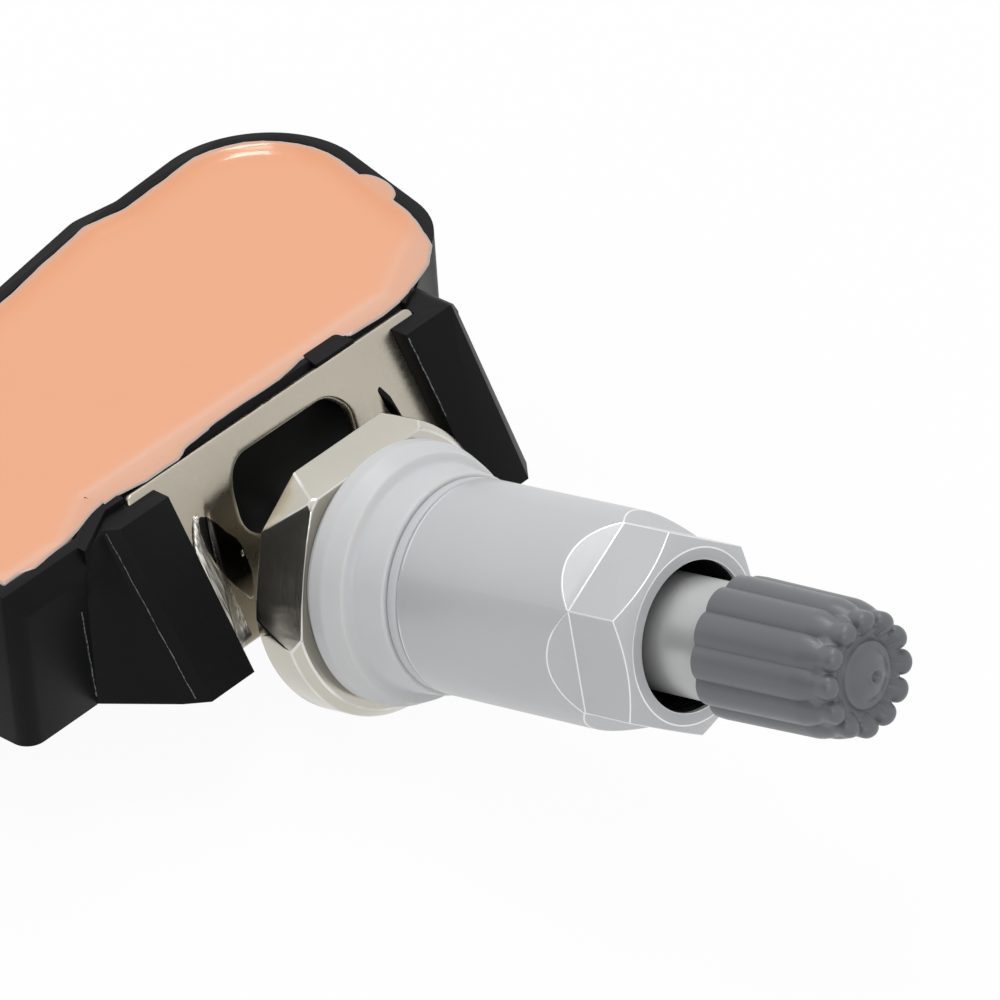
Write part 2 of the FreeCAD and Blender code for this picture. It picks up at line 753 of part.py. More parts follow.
# Stem: flange, neck, seat for the seal and threaded tube turned in one piece
valve_stem = turned(
    "valve_stem",
    [
        ("0", "0 - %s + Sizes.fixing_hole_depth" % LAND_DEPTH),
        ("Sizes.fixing_hole_radius", "0 - %s + Sizes.fixing_hole_depth" % LAND_DEPTH),
        ("Sizes.fixing_hole_radius", "0 - %s" % LAND_DEPTH),
        ("Sizes.neck_radius", "0 - %s" % LAND_DEPTH),
        ("Sizes.neck_radius", "0 - Sizes.flange_thick"),
        ("Sizes.flange_radius", "0 - Sizes.flange_thick", "Sizes.flange_back_round"),
        ("Sizes.flange_radius", "0 - Sizes.flange_face_bevel"),
        ("Sizes.flange_face_radius", "0"),
        ("Sizes.seat_radius", "0"),
        ("Sizes.seat_radius", "Sizes.seat_length - Sizes.seat_radius + Sizes.stem_radius"),
        ("Sizes.stem_radius", "Sizes.seat_length"),
        ("Sizes.stem_radius", "Sizes.stem_length - Sizes.stem_mouth_bevel"),
        ("Sizes.stem_radius - Sizes.stem_mouth_bevel", "Sizes.stem_length"),
        ("Sizes.core_bore_radius", "Sizes.stem_length"),
        ("Sizes.core_bore_radius", CORE_BORE_START),
        ("Sizes.air_bore_radius", "%s - Sizes.core_bore_cone" % CORE_BORE_START),
        ("Sizes.air_bore_radius", "0 - Sizes.air_bore_start"),
        ("0", "0 - Sizes.air_bore_start"),
    ],
)
vent_sketch = body_sketch(valve_stem, "vent_sketch", "YZ_Plane")
circle(vent_sketch, "0", "0 - Sizes.vent_place", "Sizes.vent_radius")
doc.recompute()
vent = valve_stem.newObject("PartDesign::Pocket", "vent")
vent.Profile = vent_sketch
vent.Midplane = True
tie(vent, "Length", "Sizes.flange_radius")
valve_stem.Tip = vent
for flat in ("top_flat", "shoulder_flat", "side_flat"):
    front = "Sizes.%s_front" % flat
    slope = "(Sizes.%s_back - Sizes.%s_front) / Sizes.flange_thick" % (flat, flat)
    pocket(
        valve_stem,
        flat,
        "YZ_Plane",
        [
            ("%s - %s * Sizes.cut_overrun" % (front, slope), "Sizes.cut_overrun"),
            (
                "Sizes.%s_back + %s * Sizes.fit_gap" % (flat, slope),
                "0 - Sizes.flange_thick - Sizes.fit_gap",
            ),
            ("Sizes.flange_radius + Sizes.cut_overrun", "0 - Sizes.flange_thick - Sizes.fit_gap"),
            ("Sizes.flange_radius + Sizes.cut_overrun", "Sizes.cut_overrun"),
        ],
        "Sizes.flange_radius * 2",
        value("Sizes.%s_turn" % flat),
    )

# Seal, washer and collar nut on the stem
valve_seal = turned(
    "valve_seal",
    [
        ("Sizes.seat_radius + Sizes.fit_gap", "0"),
        ("Sizes.seal_radius", "0"),
        ("Sizes.seal_radius", "Sizes.seal_bulge_height", "Sizes.seal_ring_round"),
        ("Sizes.seal_shoulder_radius", "Sizes.seal_ring_thick"),
        ("Sizes.seal_neck_radius", "Sizes.seal_neck_start"),
        ("Sizes.seal_tip_radius", "Sizes.seal_length"),
        ("Sizes.seat_radius + Sizes.fit_gap", "Sizes.seal_length"),
    ],
)
nut_washer = turned(
    "nut_washer",
    [
        ("Sizes.stem_radius + Sizes.fit_gap", WASHER_BACK),
        ("Sizes.washer_radius", WASHER_BACK),
        ("Sizes.washer_radius", "%s + Sizes.washer_thick" % WASHER_BACK),
        ("Sizes.stem_radius + Sizes.fit_gap", "%s + Sizes.washer_thick" % WASHER_BACK),
    ],
)
CHAMFER_DROP = "((Sizes.nut_radius - Sizes.nut_face_radius) * tan(Sizes.nut_chamfer_angle))"
collar_nut = turned(
    "collar_nut",
    [
        ("Sizes.stem_radius + Sizes.fit_gap", NUT_BACK),
        ("Sizes.nut_radius", NUT_BACK, "Sizes.nut_rim_round"),
        ("Sizes.nut_radius", "%s - %s" % (NUT_FRONT, CHAMFER_DROP)),
        ("Sizes.nut_face_radius", NUT_FRONT),
        ("Sizes.nut_bore_radius + Sizes.nut_bore_bevel", NUT_FRONT),
        ("Sizes.nut_bore_radius", "%s - Sizes.nut_bore_bevel" % NUT_FRONT),
        ("Sizes.nut_bore_radius", "%s + Sizes.nut_thread_length" % NUT_BACK),
        ("Sizes.stem_radius + Sizes.fit_gap", "%s + Sizes.nut_thread_length" % NUT_BACK),
    ],
)
RUNOUT_SLOPE = "Sizes.nut_runout / (Sizes.nut_radius - Sizes.nut_half_flats)"
NUT_CUT_RADIUS = "(Sizes.nut_radius + Sizes.cut_overrun)"
nut_flat = pocket(
    collar_nut,
    "nut_flat",
    "XZ_Plane",
    [
        ("Sizes.nut_half_flats", "%s - Sizes.nut_flat_length" % NUT_FRONT),
        (
            NUT_CUT_RADIUS,
            "%s - Sizes.nut_flat_length - (%s - Sizes.nut_half_flats) * %s"
            % (NUT_FRONT, NUT_CUT_RADIUS, RUNOUT_SLOPE),
        ),
        (NUT_CUT_RADIUS, "%s + Sizes.cut_overrun" % NUT_FRONT),
        ("Sizes.nut_half_flats", "%s + Sizes.cut_overrun" % NUT_FRONT),
    ],
    "Sizes.nut_radius * 2",
)
around(collar_nut, "nut_flats", nut_flat, "Sizes.nut_sides")
on_stem(collar_nut, value("Sizes.nut_turn"))

# Cap: turned shell with rounded ribs, each rib a revolved round bar
valve_cap = turned(
    "valve_cap",
    [
        ("0", CAP_BACK),
        ("Sizes.cap_body_radius", CAP_BACK),
        ("Sizes.cap_body_radius", "%s - Sizes.cap_shoulder_bevel" % CAP_FRONT),
        ("Sizes.cap_body_radius - Sizes.cap_shoulder_bevel", CAP_FRONT),
        ("Sizes.cap_groove_radius + Sizes.cap_groove_width / 2", CAP_FRONT),
        ("Sizes.cap_groove_radius", "%s - Sizes.cap_groove_depth" % CAP_FRONT),
        ("Sizes.cap_groove_radius - Sizes.cap_groove_width / 2", CAP_FRONT),
        ("Sizes.cap_dome_radius", "%s + Sizes.cap_dome_height / 2" % CAP_FRONT),
        ("Sizes.cap_dome_radius / 2", "%s + Sizes.cap_dome_height" % CAP_FRONT),
        ("0", "%s + Sizes.cap_dome_height" % CAP_FRONT),
    ],
)
rib_profile = body_sketch(valve_cap, "rib_profile", "XZ_Plane")
RIB_FRONT = "(%s + Sizes.cap_rib_rise)" % CAP_FRONT
outline(
    rib_profile,
    [
        ("Sizes.cap_rib_circle", CAP_BACK),
        ("Sizes.cap_rib_circle + Sizes.cap_rib_radius", CAP_BACK),
        ("Sizes.cap_rib_circle + Sizes.cap_rib_radius", "%s - Sizes.cap_rib_bevel" % RIB_FRONT),
        ("Sizes.cap_rib_circle + Sizes.cap_rib_radius - Sizes.cap_rib_bevel", RIB_FRONT),
        ("Sizes.cap_rib_circle", RIB_FRONT),
    ],
)
rib_axis = rib_profile.addGeometry(
    Part.LineSegment(
        Vector(value("Sizes.cap_rib_circle"), value(CAP_BACK), 0),
        Vector(value("Sizes.cap_rib_circle"), value(RIB_FRONT), 0),
    ),
    True,
)
pin_point(
    rib_profile, rib_axis, 1,
    (value("Sizes.cap_rib_circle"), value(CAP_BACK)),
    ("Sizes.cap_rib_circle", CAP_BACK),
)
pin_point(
    rib_profile, rib_axis, 2,
    (value("Sizes.cap_rib_circle"), value(RIB_FRONT)),
    ("Sizes.cap_rib_circle", RIB_FRONT),
)
doc.recompute()
rib = valve_cap.newObject("PartDesign::Revolution", "rib")
rib.Profile = rib_profile
rib.ReferenceAxis = (rib_profile, ["Axis0"])
rib.Angle = 360
around(valve_cap, "ribs", rib, "Sizes.cap_rib_count")
cap_bore_profile = body_sketch(valve_cap, "cap_bore_profile", "XZ_Plane")
outline(
    cap_bore_profile,
    [
        ("0", "%s - Sizes.cut_overrun" % CAP_BACK),
        (
            "Sizes.stem_radius + Sizes.fit_gap + Sizes.cap_mouth_bevel",
            "%s - Sizes.cut_overrun" % CAP_BACK,
        ),
        ("Sizes.stem_radius + Sizes.fit_gap + Sizes.cap_mouth_bevel", CAP_BACK),
        ("Sizes.stem_radius + Sizes.fit_gap", "%s + Sizes.cap_mouth_bevel" % CAP_BACK),
        ("Sizes.stem_radius + Sizes.fit_gap", "%s + Sizes.fit_gap" % GASKET_FRONT),
        ("0", "%s + Sizes.fit_gap" % GASKET_FRONT),
    ],
)
doc.recompute()
cap_bore = valve_cap.newObject("PartDesign::Groove", "cap_bore")
cap_bore.Profile = cap_bore_profile
cap_bore.ReferenceAxis = (cap_bore_profile, ["V_Axis"])
cap_bore.Angle = 360
valve_cap.Tip = cap_bore
cap_gasket = turned(
    "cap_gasket",
    [
        ("0", GASKET_BACK),
        ("Sizes.gasket_radius", GASKET_BACK),
        ("Sizes.gasket_radius", GASKET_FRONT),
        ("0", GASKET_FRONT),
    ],
)

# Valve core: barrel with its bore, seal ring, sprung pin and the cup seal under it
PIN_BORE = "(Sizes.pin_radius + Sizes.pin_clearance)"
core_body = turned(
    "core_body",
    [
        (PIN_BORE, NOSE_START),
        ("Sizes.core_nose_radius", NOSE_START),
        ("Sizes.core_nose_radius", BARREL_START),
        ("Sizes.core_bore_radius - Sizes.fit_gap", BARREL_START),
        ("Sizes.core_bore_radius - Sizes.fit_gap", CORE_TOP),
        ("Sizes.core_barrel_bore", CORE_TOP),
        ("Sizes.core_barrel_bore", CORE_SEAT),
        (PIN_BORE, CORE_SEAT),
    ],
)
pocket(
    core_body,
    "core_slot",
    "XZ_Plane",
    [
        ("0 - Sizes.core_bore_radius", "%s - Sizes.core_slot_depth" % CORE_TOP),
        ("Sizes.core_bore_radius", "%s - Sizes.core_slot_depth" % CORE_TOP),
        ("Sizes.core_bore_radius", "%s + Sizes.cut_overrun" % CORE_TOP),
        ("0 - Sizes.core_bore_radius", "%s + Sizes.cut_overrun" % CORE_TOP),
    ],
    "Sizes.core_slot_half_width * 2",
)
RING_START = "(%s - Sizes.core_seal_thick)" % BARREL_START
core_seal_ring = turned(
    "core_seal_ring",
    [
        ("Sizes.core_nose_radius + Sizes.fit_gap", RING_START),
        ("Sizes.core_bore_radius - Sizes.fit_gap", RING_START),
        ("Sizes.core_bore_radius - Sizes.fit_gap", BARREL_START),
        ("Sizes.core_nose_radius + Sizes.fit_gap", BARREL_START),
    ],
)
core_pin = turned(
    "core_pin",
    [
        ("0", "%s - Sizes.cup_thick" % CUP_TOP),
        ("Sizes.cup_radius", "%s - Sizes.cup_thick" % CUP_TOP),
        ("Sizes.cup_radius", CUP_TOP),
        ("Sizes.pin_radius", CUP_TOP),
        ("Sizes.pin_radius", PIN_COLLAR_UNDER),
        ("Sizes.core_barrel_bore - Sizes.pin_collar_clearance", PIN_COLLAR_UNDER),
        ("Sizes.core_barrel_bore - Sizes.pin_collar_clearance", PIN_COLLAR_TOP),
        ("Sizes.pin_radius", PIN_COLLAR_TOP),
        ("Sizes.pin_radius", "Sizes.stem_length - Sizes.pin_top_drop"),
        ("0", "Sizes.stem_length - Sizes.pin_top_drop"),
    ],
)
core_cup_seal = turned(
    "core_cup_seal",
    [
        (PIN_BORE, CUP_TOP),
        ("Sizes.cup_radius", CUP_TOP),
        ("Sizes.cup_radius", CUP_SEAL_TOP),
        (PIN_BORE, CUP_SEAL_TOP),
    ],
)
SPRING_FOOT = "(%s + Sizes.spring_wire)" % CORE_SEAT
SPRING_HEAD = "(%s - Sizes.pin_stroke - Sizes.spring_wire - Sizes.fit_gap)" % PIN_COLLAR_UNDER
spring_foot, spring_head = value(SPRING_FOOT), value(SPRING_HEAD)
spring_steps = int(value("Sizes.spring_turns * Sizes.spring_sides"))
spring_places = []
for step in range(spring_steps + 1):
    angle = 2 * math.pi * step / value("Sizes.spring_sides")
    spring_places.append(
        Vector(
            value("Sizes.spring_radius") * math.cos(angle),
            value("Sizes.spring_radius") * math.sin(angle),
            spring_foot + (spring_head - spring_foot) * step / spring_steps,
        )
    )
spring_line = doc.addObject("Part::Polygon", "spring_line")
spring_line.Nodes = spring_places
spring_section = doc.addObject("Part::RegularPolygon", "spring_section")
tie(spring_section, "Polygon", "Sizes.spring_wire_sides")
tie(spring_section, "Circumradius", "Sizes.spring_wire")
spring_section.Placement = FreeCAD.Placement(
    spring_places[0], FreeCAD.Rotation(Vector(0, 0, 1), spring_places[1] - spring_places[0])
)
core_spring = doc.addObject("Part::Sweep", "core_spring")
core_spring.Sections = [spring_section]
core_spring.Spine = (spring_line, [])
core_spring.Solid = True
core_spring.Transition = "Right corner"
on_stem(core_spring)

# Fixing screw: holds the bracket's land against the back of the stem
bracket_screw = turned(
    "bracket_screw",
    [
        ("0", "0 - %s - Sizes.screw_head_thick" % HEAD_UNDER),
        (
            "Sizes.screw_head_radius",
            "0 - %s - Sizes.screw_head_thick" % HEAD_UNDER,
            "Sizes.screw_head_round",
        ),
        ("Sizes.screw_head_radius", "0 - %s" % HEAD_UNDER),
        ("Sizes.fixing_hole_radius - Sizes.fit_gap", "0 - %s" % HEAD_UNDER),
        (
            "Sizes.fixing_hole_radius - Sizes.fit_gap",
            "0 - %s + Sizes.screw_length" % LAND_DEPTH,
        ),
        ("0", "0 - %s + Sizes.screw_length" % LAND_DEPTH),
    ],
)
KEY_HALF_SIDE = "(Sizes.screw_key_half / cos(30))"
screw_key = body_sketch(bracket_screw, "screw_key", "XY_Plane")
tie(
    screw_key,
    "AttachmentOffset.Base.z",
    "0 - %s - Sizes.screw_head_thick" % HEAD_UNDER,
)
outline(
    screw_key,
    [
        ("%s * cos(%d)" % (KEY_HALF_SIDE, angle), "%s * sin(%d)" % (KEY_HALF_SIDE, angle))
        for angle in (30, 90, 150, 210, 270, 330)
    ],
)
doc.recompute()
screw_socket = bracket_screw.newObject("PartDesign::Pocket", "screw_socket")
screw_socket.Profile = screw_key
screw_socket.Reversed = True
tie(screw_socket, "Length", "Sizes.screw_key_depth")
bracket_screw.Tip = screw_socket
screw_washer = turned(
    "screw_washer",
    [
        ("Sizes.fixing_hole_radius + Sizes.fit_gap", "0 - %s" % HEAD_UNDER),
        ("Sizes.lock_washer_radius", "0 - %s" % HEAD_UNDER),
        ("Sizes.lock_washer_radius", "0 - %s" % LAND_BACK),
        ("Sizes.fixing_hole_radius + Sizes.fit_gap", "0 - %s" % LAND_BACK),
    ],
)

# Board and the pieces on it
board_outline = doc.addObject("Part::Offset2D", "board_outline")
board_outline.Source = case_outline
tie(board_outline, "Value", "0 - Sizes.case_wall - Sizes.board_margin")
circuit_board = extruded("circuit_board", board_outline, "Sizes.board_thick")
tie(circuit_board, "Placement.Base.z", "Sizes.case_floor_thick + Sizes.board_height")
CELL_SPOT = ("Sizes.cell_reach", "Sizes.cell_place")
cell_can = upright("cell_can", "Sizes.cell_radius", "Sizes.cell_thick", CELL_SPOT + (CELL_UNDER,))
battery_cell = doc.addObject("Part::Chamfer", "battery_cell")
battery_cell.Base = cell_can
doc.recompute()
rim_width = value("Sizes.cell_rim_round")
battery_cell.Edges = [
    (number, rim_width, rim_width)
    for number, edge in enumerate(cell_can.Shape.Edges, start=1)
    if edge.Curve.TypeId == "Part::GeomCircle"
]
TAB_REST = "Sizes.cell_reach - Sizes.cell_radius - Sizes.tab_overhang"
TAB_REACH = "Sizes.cell_radius + Sizes.tab_overhang"
battery_tab_top = joined(
    "battery_tab_top",
    [
        box(
            "tab_top_strip",
            (TAB_REACH, "Sizes.tab_width", "Sizes.tab_thick"),
            (TAB_REST, "Sizes.cell_place - Sizes.tab_width * 1.5", CELL_TOP),
        ),
        box(
            "tab_top_riser",
            ("Sizes.tab_thick", "Sizes.tab_width", "%s - %s" % (BOARD_UNDER, CELL_TOP)),
            (TAB_REST, "Sizes.cell_place - Sizes.tab_width * 1.5", CELL_TOP),
        ),
    ],
)
battery_tab_bottom = joined(
    "battery_tab_bottom",
    [
        box(
            "tab_bottom_strip",
            (TAB_REACH, "Sizes.tab_width", "Sizes.tab_thick"),
            (TAB_REST, "Sizes.cell_place + Sizes.tab_width / 2", "%s - Sizes.tab_thick" % CELL_UNDER),
        ),
        box(
            "tab_bottom_riser",
            (
                "Sizes.tab_thick",
                "Sizes.tab_width",
                "%s - %s + Sizes.tab_thick" % (BOARD_UNDER, CELL_UNDER),
            ),
            (TAB_REST, "Sizes.cell_place + Sizes.tab_width / 2", "%s - Sizes.tab_thick" % CELL_UNDER),
        ),
    ],
)
pressure_chip = centred_box(
    "pressure_chip",
    ("Sizes.sensor_size", "Sizes.sensor_size", "Sizes.sensor_thick"),
    SENSOR_SPOT,
    "%s - Sizes.sensor_thick" % BOARD_UNDER,
)
PORT_SEAL_HEIGHT = "(%s - Sizes.sensor_thick - %s)" % (BOARD_UNDER, CAVITY_FLOOR)
port_seal = cut(
    "port_seal",
    upright("port_seal_post", "Sizes.port_seal_radius", PORT_SEAL_HEIGHT, SENSOR_SPOT + (CAVITY_FLOOR,)),
    upright("port_seal_bore", "Sizes.port_radius", PORT_SEAL_HEIGHT, SENSOR_SPOT + (CAVITY_FLOOR,)),
)
pressure_port_filter = upright(
    "pressure_port_filter",
    "Sizes.filter_radius",
    "Sizes.filter_thick",
    SENSOR_SPOT + ("%s + Sizes.filter_recess - Sizes.filter_thick" % CASE_FLOOR,),
)
controller_chip = centred_box(
    "controller_chip",
    ("Sizes.controller_size", "Sizes.controller_size", "Sizes.controller_thick"),
    ("(0 - Sizes.controller_reach)", "Sizes.controller_place"),
    BOARD_TOP,
)
crystal_resonator = centred_box(
    "crystal_resonator",
    ("Sizes.crystal_length", "Sizes.crystal_width", "Sizes.crystal_thick"),
    ("Sizes.crystal_reach", "Sizes.crystal_place"),
    BOARD_TOP,
)
capacitor_row = joined(
    "capacitor_row",
    [
        centred_box(
            "capacitor_%d" % (number + 1),
            ("Sizes.capacitor_width", "Sizes.capacitor_length", "Sizes.capacitor_width"),
            ("(Sizes.capacitor_reach + %d * Sizes.capacitor_pitch)" % number, "Sizes.capacitor_place"),
            BOARD_TOP,
        )
        for number in range(int(value("Sizes.capacitor_count")))
    ],
)
COIL_SPOT = ("(Sizes.coil_inset - Sizes.left_end_reach)", "Sizes.coil_place")
COIL_SIDE = "((Sizes.coil_length - Sizes.coil_end_length) / 2)"
coil_ends = [
    centred_box(
        "coil_end_%d" % number,
        ("Sizes.coil_end_length", "Sizes.coil_end", "Sizes.coil_end"),
        ("(Sizes.coil_inset - Sizes.left_end_reach %s %s)" % (sign, COIL_SIDE), "Sizes.coil_place"),
        BOARD_TOP,
    )
    for number, sign in ((1, "-"), (2, "+"))
]
coil_middle = centred_box(
    "coil_middle",
    ("Sizes.coil_length", "Sizes.coil_core", "Sizes.coil_core"),
    COIL_SPOT,
    "%s + (Sizes.coil_end - Sizes.coil_core) / 2" % BOARD_TOP,
)
antenna_coil = joined("antenna_coil", [coil_middle] + coil_ends)

# Potting: fills the cavity round the board, up to just under the rim
potting_level = box(
    "potting_level",
    ("Sizes.left_end_reach * 2", "Sizes.back_right_place", "Sizes.case_depth"),
    ("0 - Sizes.left_end_reach", "0", "%s - Sizes.case_depth" % POTTING_TOP),
)
potting_block = doc.addObject("Part::MultiCommon", "potting_block")
potting_block.Shapes = [case_cavity, potting_level]
INSIDE = [
    circuit_board,
    battery_cell,
    battery_tab_top,
    battery_tab_bottom,
    pressure_chip,
    controller_chip,
    crystal_resonator,
    antenna_coil,
]
port_room = upright(
    "port_room", "Sizes.port_seal_radius", PORT_SEAL_HEIGHT, SENSOR_SPOT + (CAVITY_FLOOR,)
)
potting_fill = cut(
    "potting_fill",
    potting_block,
    joined("inside_room", INSIDE + [capacitor_row, port_room] + posts),
)

# Check every piece and write one file for each
doc.recompute()
PIECES = [
    housing_case,
    potting_fill,
    circuit_board,
    battery_cell,
    battery_tab_top,
    battery_tab_bottom,
    pressure_chip,
    controller_chip,
    crystal_resonator,
    capacitor_row,
    antenna_coil,
    port_seal,
    pressure_port_filter,
    bracket_plate,
    bracket_screw,
    screw_washer,
    valve_stem,
    valve_seal,
    nut_washer,
    collar_nut,
    core_body,
    core_seal_ring,
    core_pin,
    core_cup_seal,
    core_spring,
    valve_cap,
    cap_gasket,
]
for thing in doc.Objects:
    if any(word in ("Invalid", "Error") for word in thing.State):
        raise RuntimeError("%s could not be built: %s" % (thing.Name, thing.State))
for piece in PIECES:
    if piece.Shape.isNull() or not piece.Shape.isValid() or not piece.Shape.Solids:
        raise RuntimeError("%s has no valid solid" % piece.Name)
    piece.Label = piece.Name
    piece.Shape.exportStep("parts/%s.step" % piece.Name)
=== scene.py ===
import logging
import math
from dataclasses import dataclass
from enum import Enum
from typing import Callable, Optional, Sequence

import bmesh
import bpy
from mathutils import Matrix, Vector, geometry


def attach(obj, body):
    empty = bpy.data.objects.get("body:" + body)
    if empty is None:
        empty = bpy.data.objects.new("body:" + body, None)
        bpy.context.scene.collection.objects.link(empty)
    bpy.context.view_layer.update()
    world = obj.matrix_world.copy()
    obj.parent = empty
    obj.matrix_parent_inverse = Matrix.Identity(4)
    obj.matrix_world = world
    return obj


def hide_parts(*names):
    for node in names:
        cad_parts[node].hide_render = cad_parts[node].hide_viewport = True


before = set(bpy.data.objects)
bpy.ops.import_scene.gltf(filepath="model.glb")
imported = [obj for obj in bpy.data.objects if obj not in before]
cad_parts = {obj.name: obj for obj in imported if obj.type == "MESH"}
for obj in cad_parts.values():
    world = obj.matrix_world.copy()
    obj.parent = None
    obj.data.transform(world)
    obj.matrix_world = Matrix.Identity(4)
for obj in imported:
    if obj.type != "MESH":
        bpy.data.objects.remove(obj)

LOG = logging.getLogger("tyre_pressure_sensor")
MM = 0.001
STEM_TILT = math.radians(12.56)
PLATE_LEAN = math.radians(60.2)
PLATE_TOP = (10.88, 9.73)
BROAD_CELLS = 90.0
SPECK_CELLS = 1400.0
WEAVE_WAVES = 9000.0

Point = tuple[float, float]
Triple = tuple[float, float, float]
Quad = tuple[float, float, float, float]
Socket = bpy.types.NodeSocket
Thing = bpy.types.Object


class Grain(Enum):
    """Kinds of fine surface structure."""

    MOULDED = "moulded"
    TURNED = "turned"
    BRUSHED = "brushed"
    CAST = "cast"
    WOVEN = "woven"


class Body(Enum):
    """Rigid bodies of the part that pieces ride on."""

    SENSOR = "sensor"
    NUT_SLIDE = "nut_slide"
    NUT = "nut"
    CAP_SLIDE = "cap_slide"
    CAP = "cap"
    PIN = "pin"


def linear(colour: Triple) -> Triple:
    """Turn a display colour from 0 to 1 into the same colour in linear light."""
    return tuple(c / 12.92 if c <= 0.04045 else ((c + 0.055) / 1.055) ** 2.4 for c in colour)


class NodeSheet:
    """Small helper that adds and joins shader nodes of one tree."""

    def __init__(self, tree: bpy.types.NodeTree) -> None:
        """Keep the tree that the nodes go into."""
        self.tree = tree

    def add(self, kind: str, **settings: object) -> bpy.types.Node:
        """Add a node.

        Args:
            kind: The node's type name.
            **settings: Attributes to set on it.

        Returns:
            The new node.
        """
        node = self.tree.nodes.new(kind)
        for key, setting in settings.items():
            setattr(node, key, setting)
        return node

    def join(self, source: Socket, target: Socket) -> None:
        """Link one socket to another."""
        self.tree.links.new(source, target)

    def math(self, operation: str, first: object, second: object = 0.0) -> Socket:
        """Add a maths node.

        Args:
            operation: The operation's name.
            first: A socket or a number.
            second: A socket or a number.

        Returns:
            The output socket.
        """
        node = self.add("ShaderNodeMath", operation=operation)
        for index, item in enumerate((first, second)):
            if isinstance(item, (int, float)):
                node.inputs[index].default_value = item
            else:
                self.join(item, node.inputs[index])
        return node.outputs[0]

    def noise(
        self, vector: Socket, scale: float, detail: float = 3.0, rough: float = 0.55
    ) -> Socket:
        """Add a noise texture.

        Args:
            vector: Where the noise is sampled.
            scale: Cells per metre.
            detail: Octaves.
            rough: Strength of the fine octaves.

        Returns:
            The noise factor's socket.
        """
        node = self.add("ShaderNodeTexNoise")
        node.inputs["Scale"].default_value = scale
        node.inputs["Detail"].default_value = detail
        node.inputs["Roughness"].default_value = rough
        self.join(vector, node.inputs["Vector"])
        return node.outputs[0]

    def span(
        self, source: Socket, low: float, high: float, new_low: float, new_high: float
    ) -> Socket:
        """Map a value from one range to another.

        Args:
            source: The value's socket.
            low: Lower end of the value.
            high: Upper end of the value.
            new_low: What the lower end becomes.
            new_high: What the upper end becomes.

        Returns:
            The mapped value's socket.
        """
        node = self.add("ShaderNodeMapRange")
        self.join(source, node.inputs["Value"])
        ends = {"From Min": low, "From Max": high, "To Min": new_low, "To Max": new_high}
        for key, number in ends.items():
            node.inputs[key].default_value = number
        return node.outputs["Result"]

    def blend(self, below: Socket | Triple, colour: Triple, share: Socket) -> Socket:
        """Lay a colour over another one.

        Args:
            below: The lower colour or its socket.
            colour: The upper colour.
            share: Socket of the upper colour's share.

        Returns:
            The blended colour's socket.
        """
        node = self.add("ShaderNodeMix", data_type="RGBA")
        if isinstance(below, tuple):
            node.inputs[6].default_value = (*linear(below), 1.0)
        else:
            self.join(below, node.inputs[6])
        node.inputs[7].default_value = (*linear(colour), 1.0)
        self.join(share, node.inputs[0])
        return node.outputs[2]


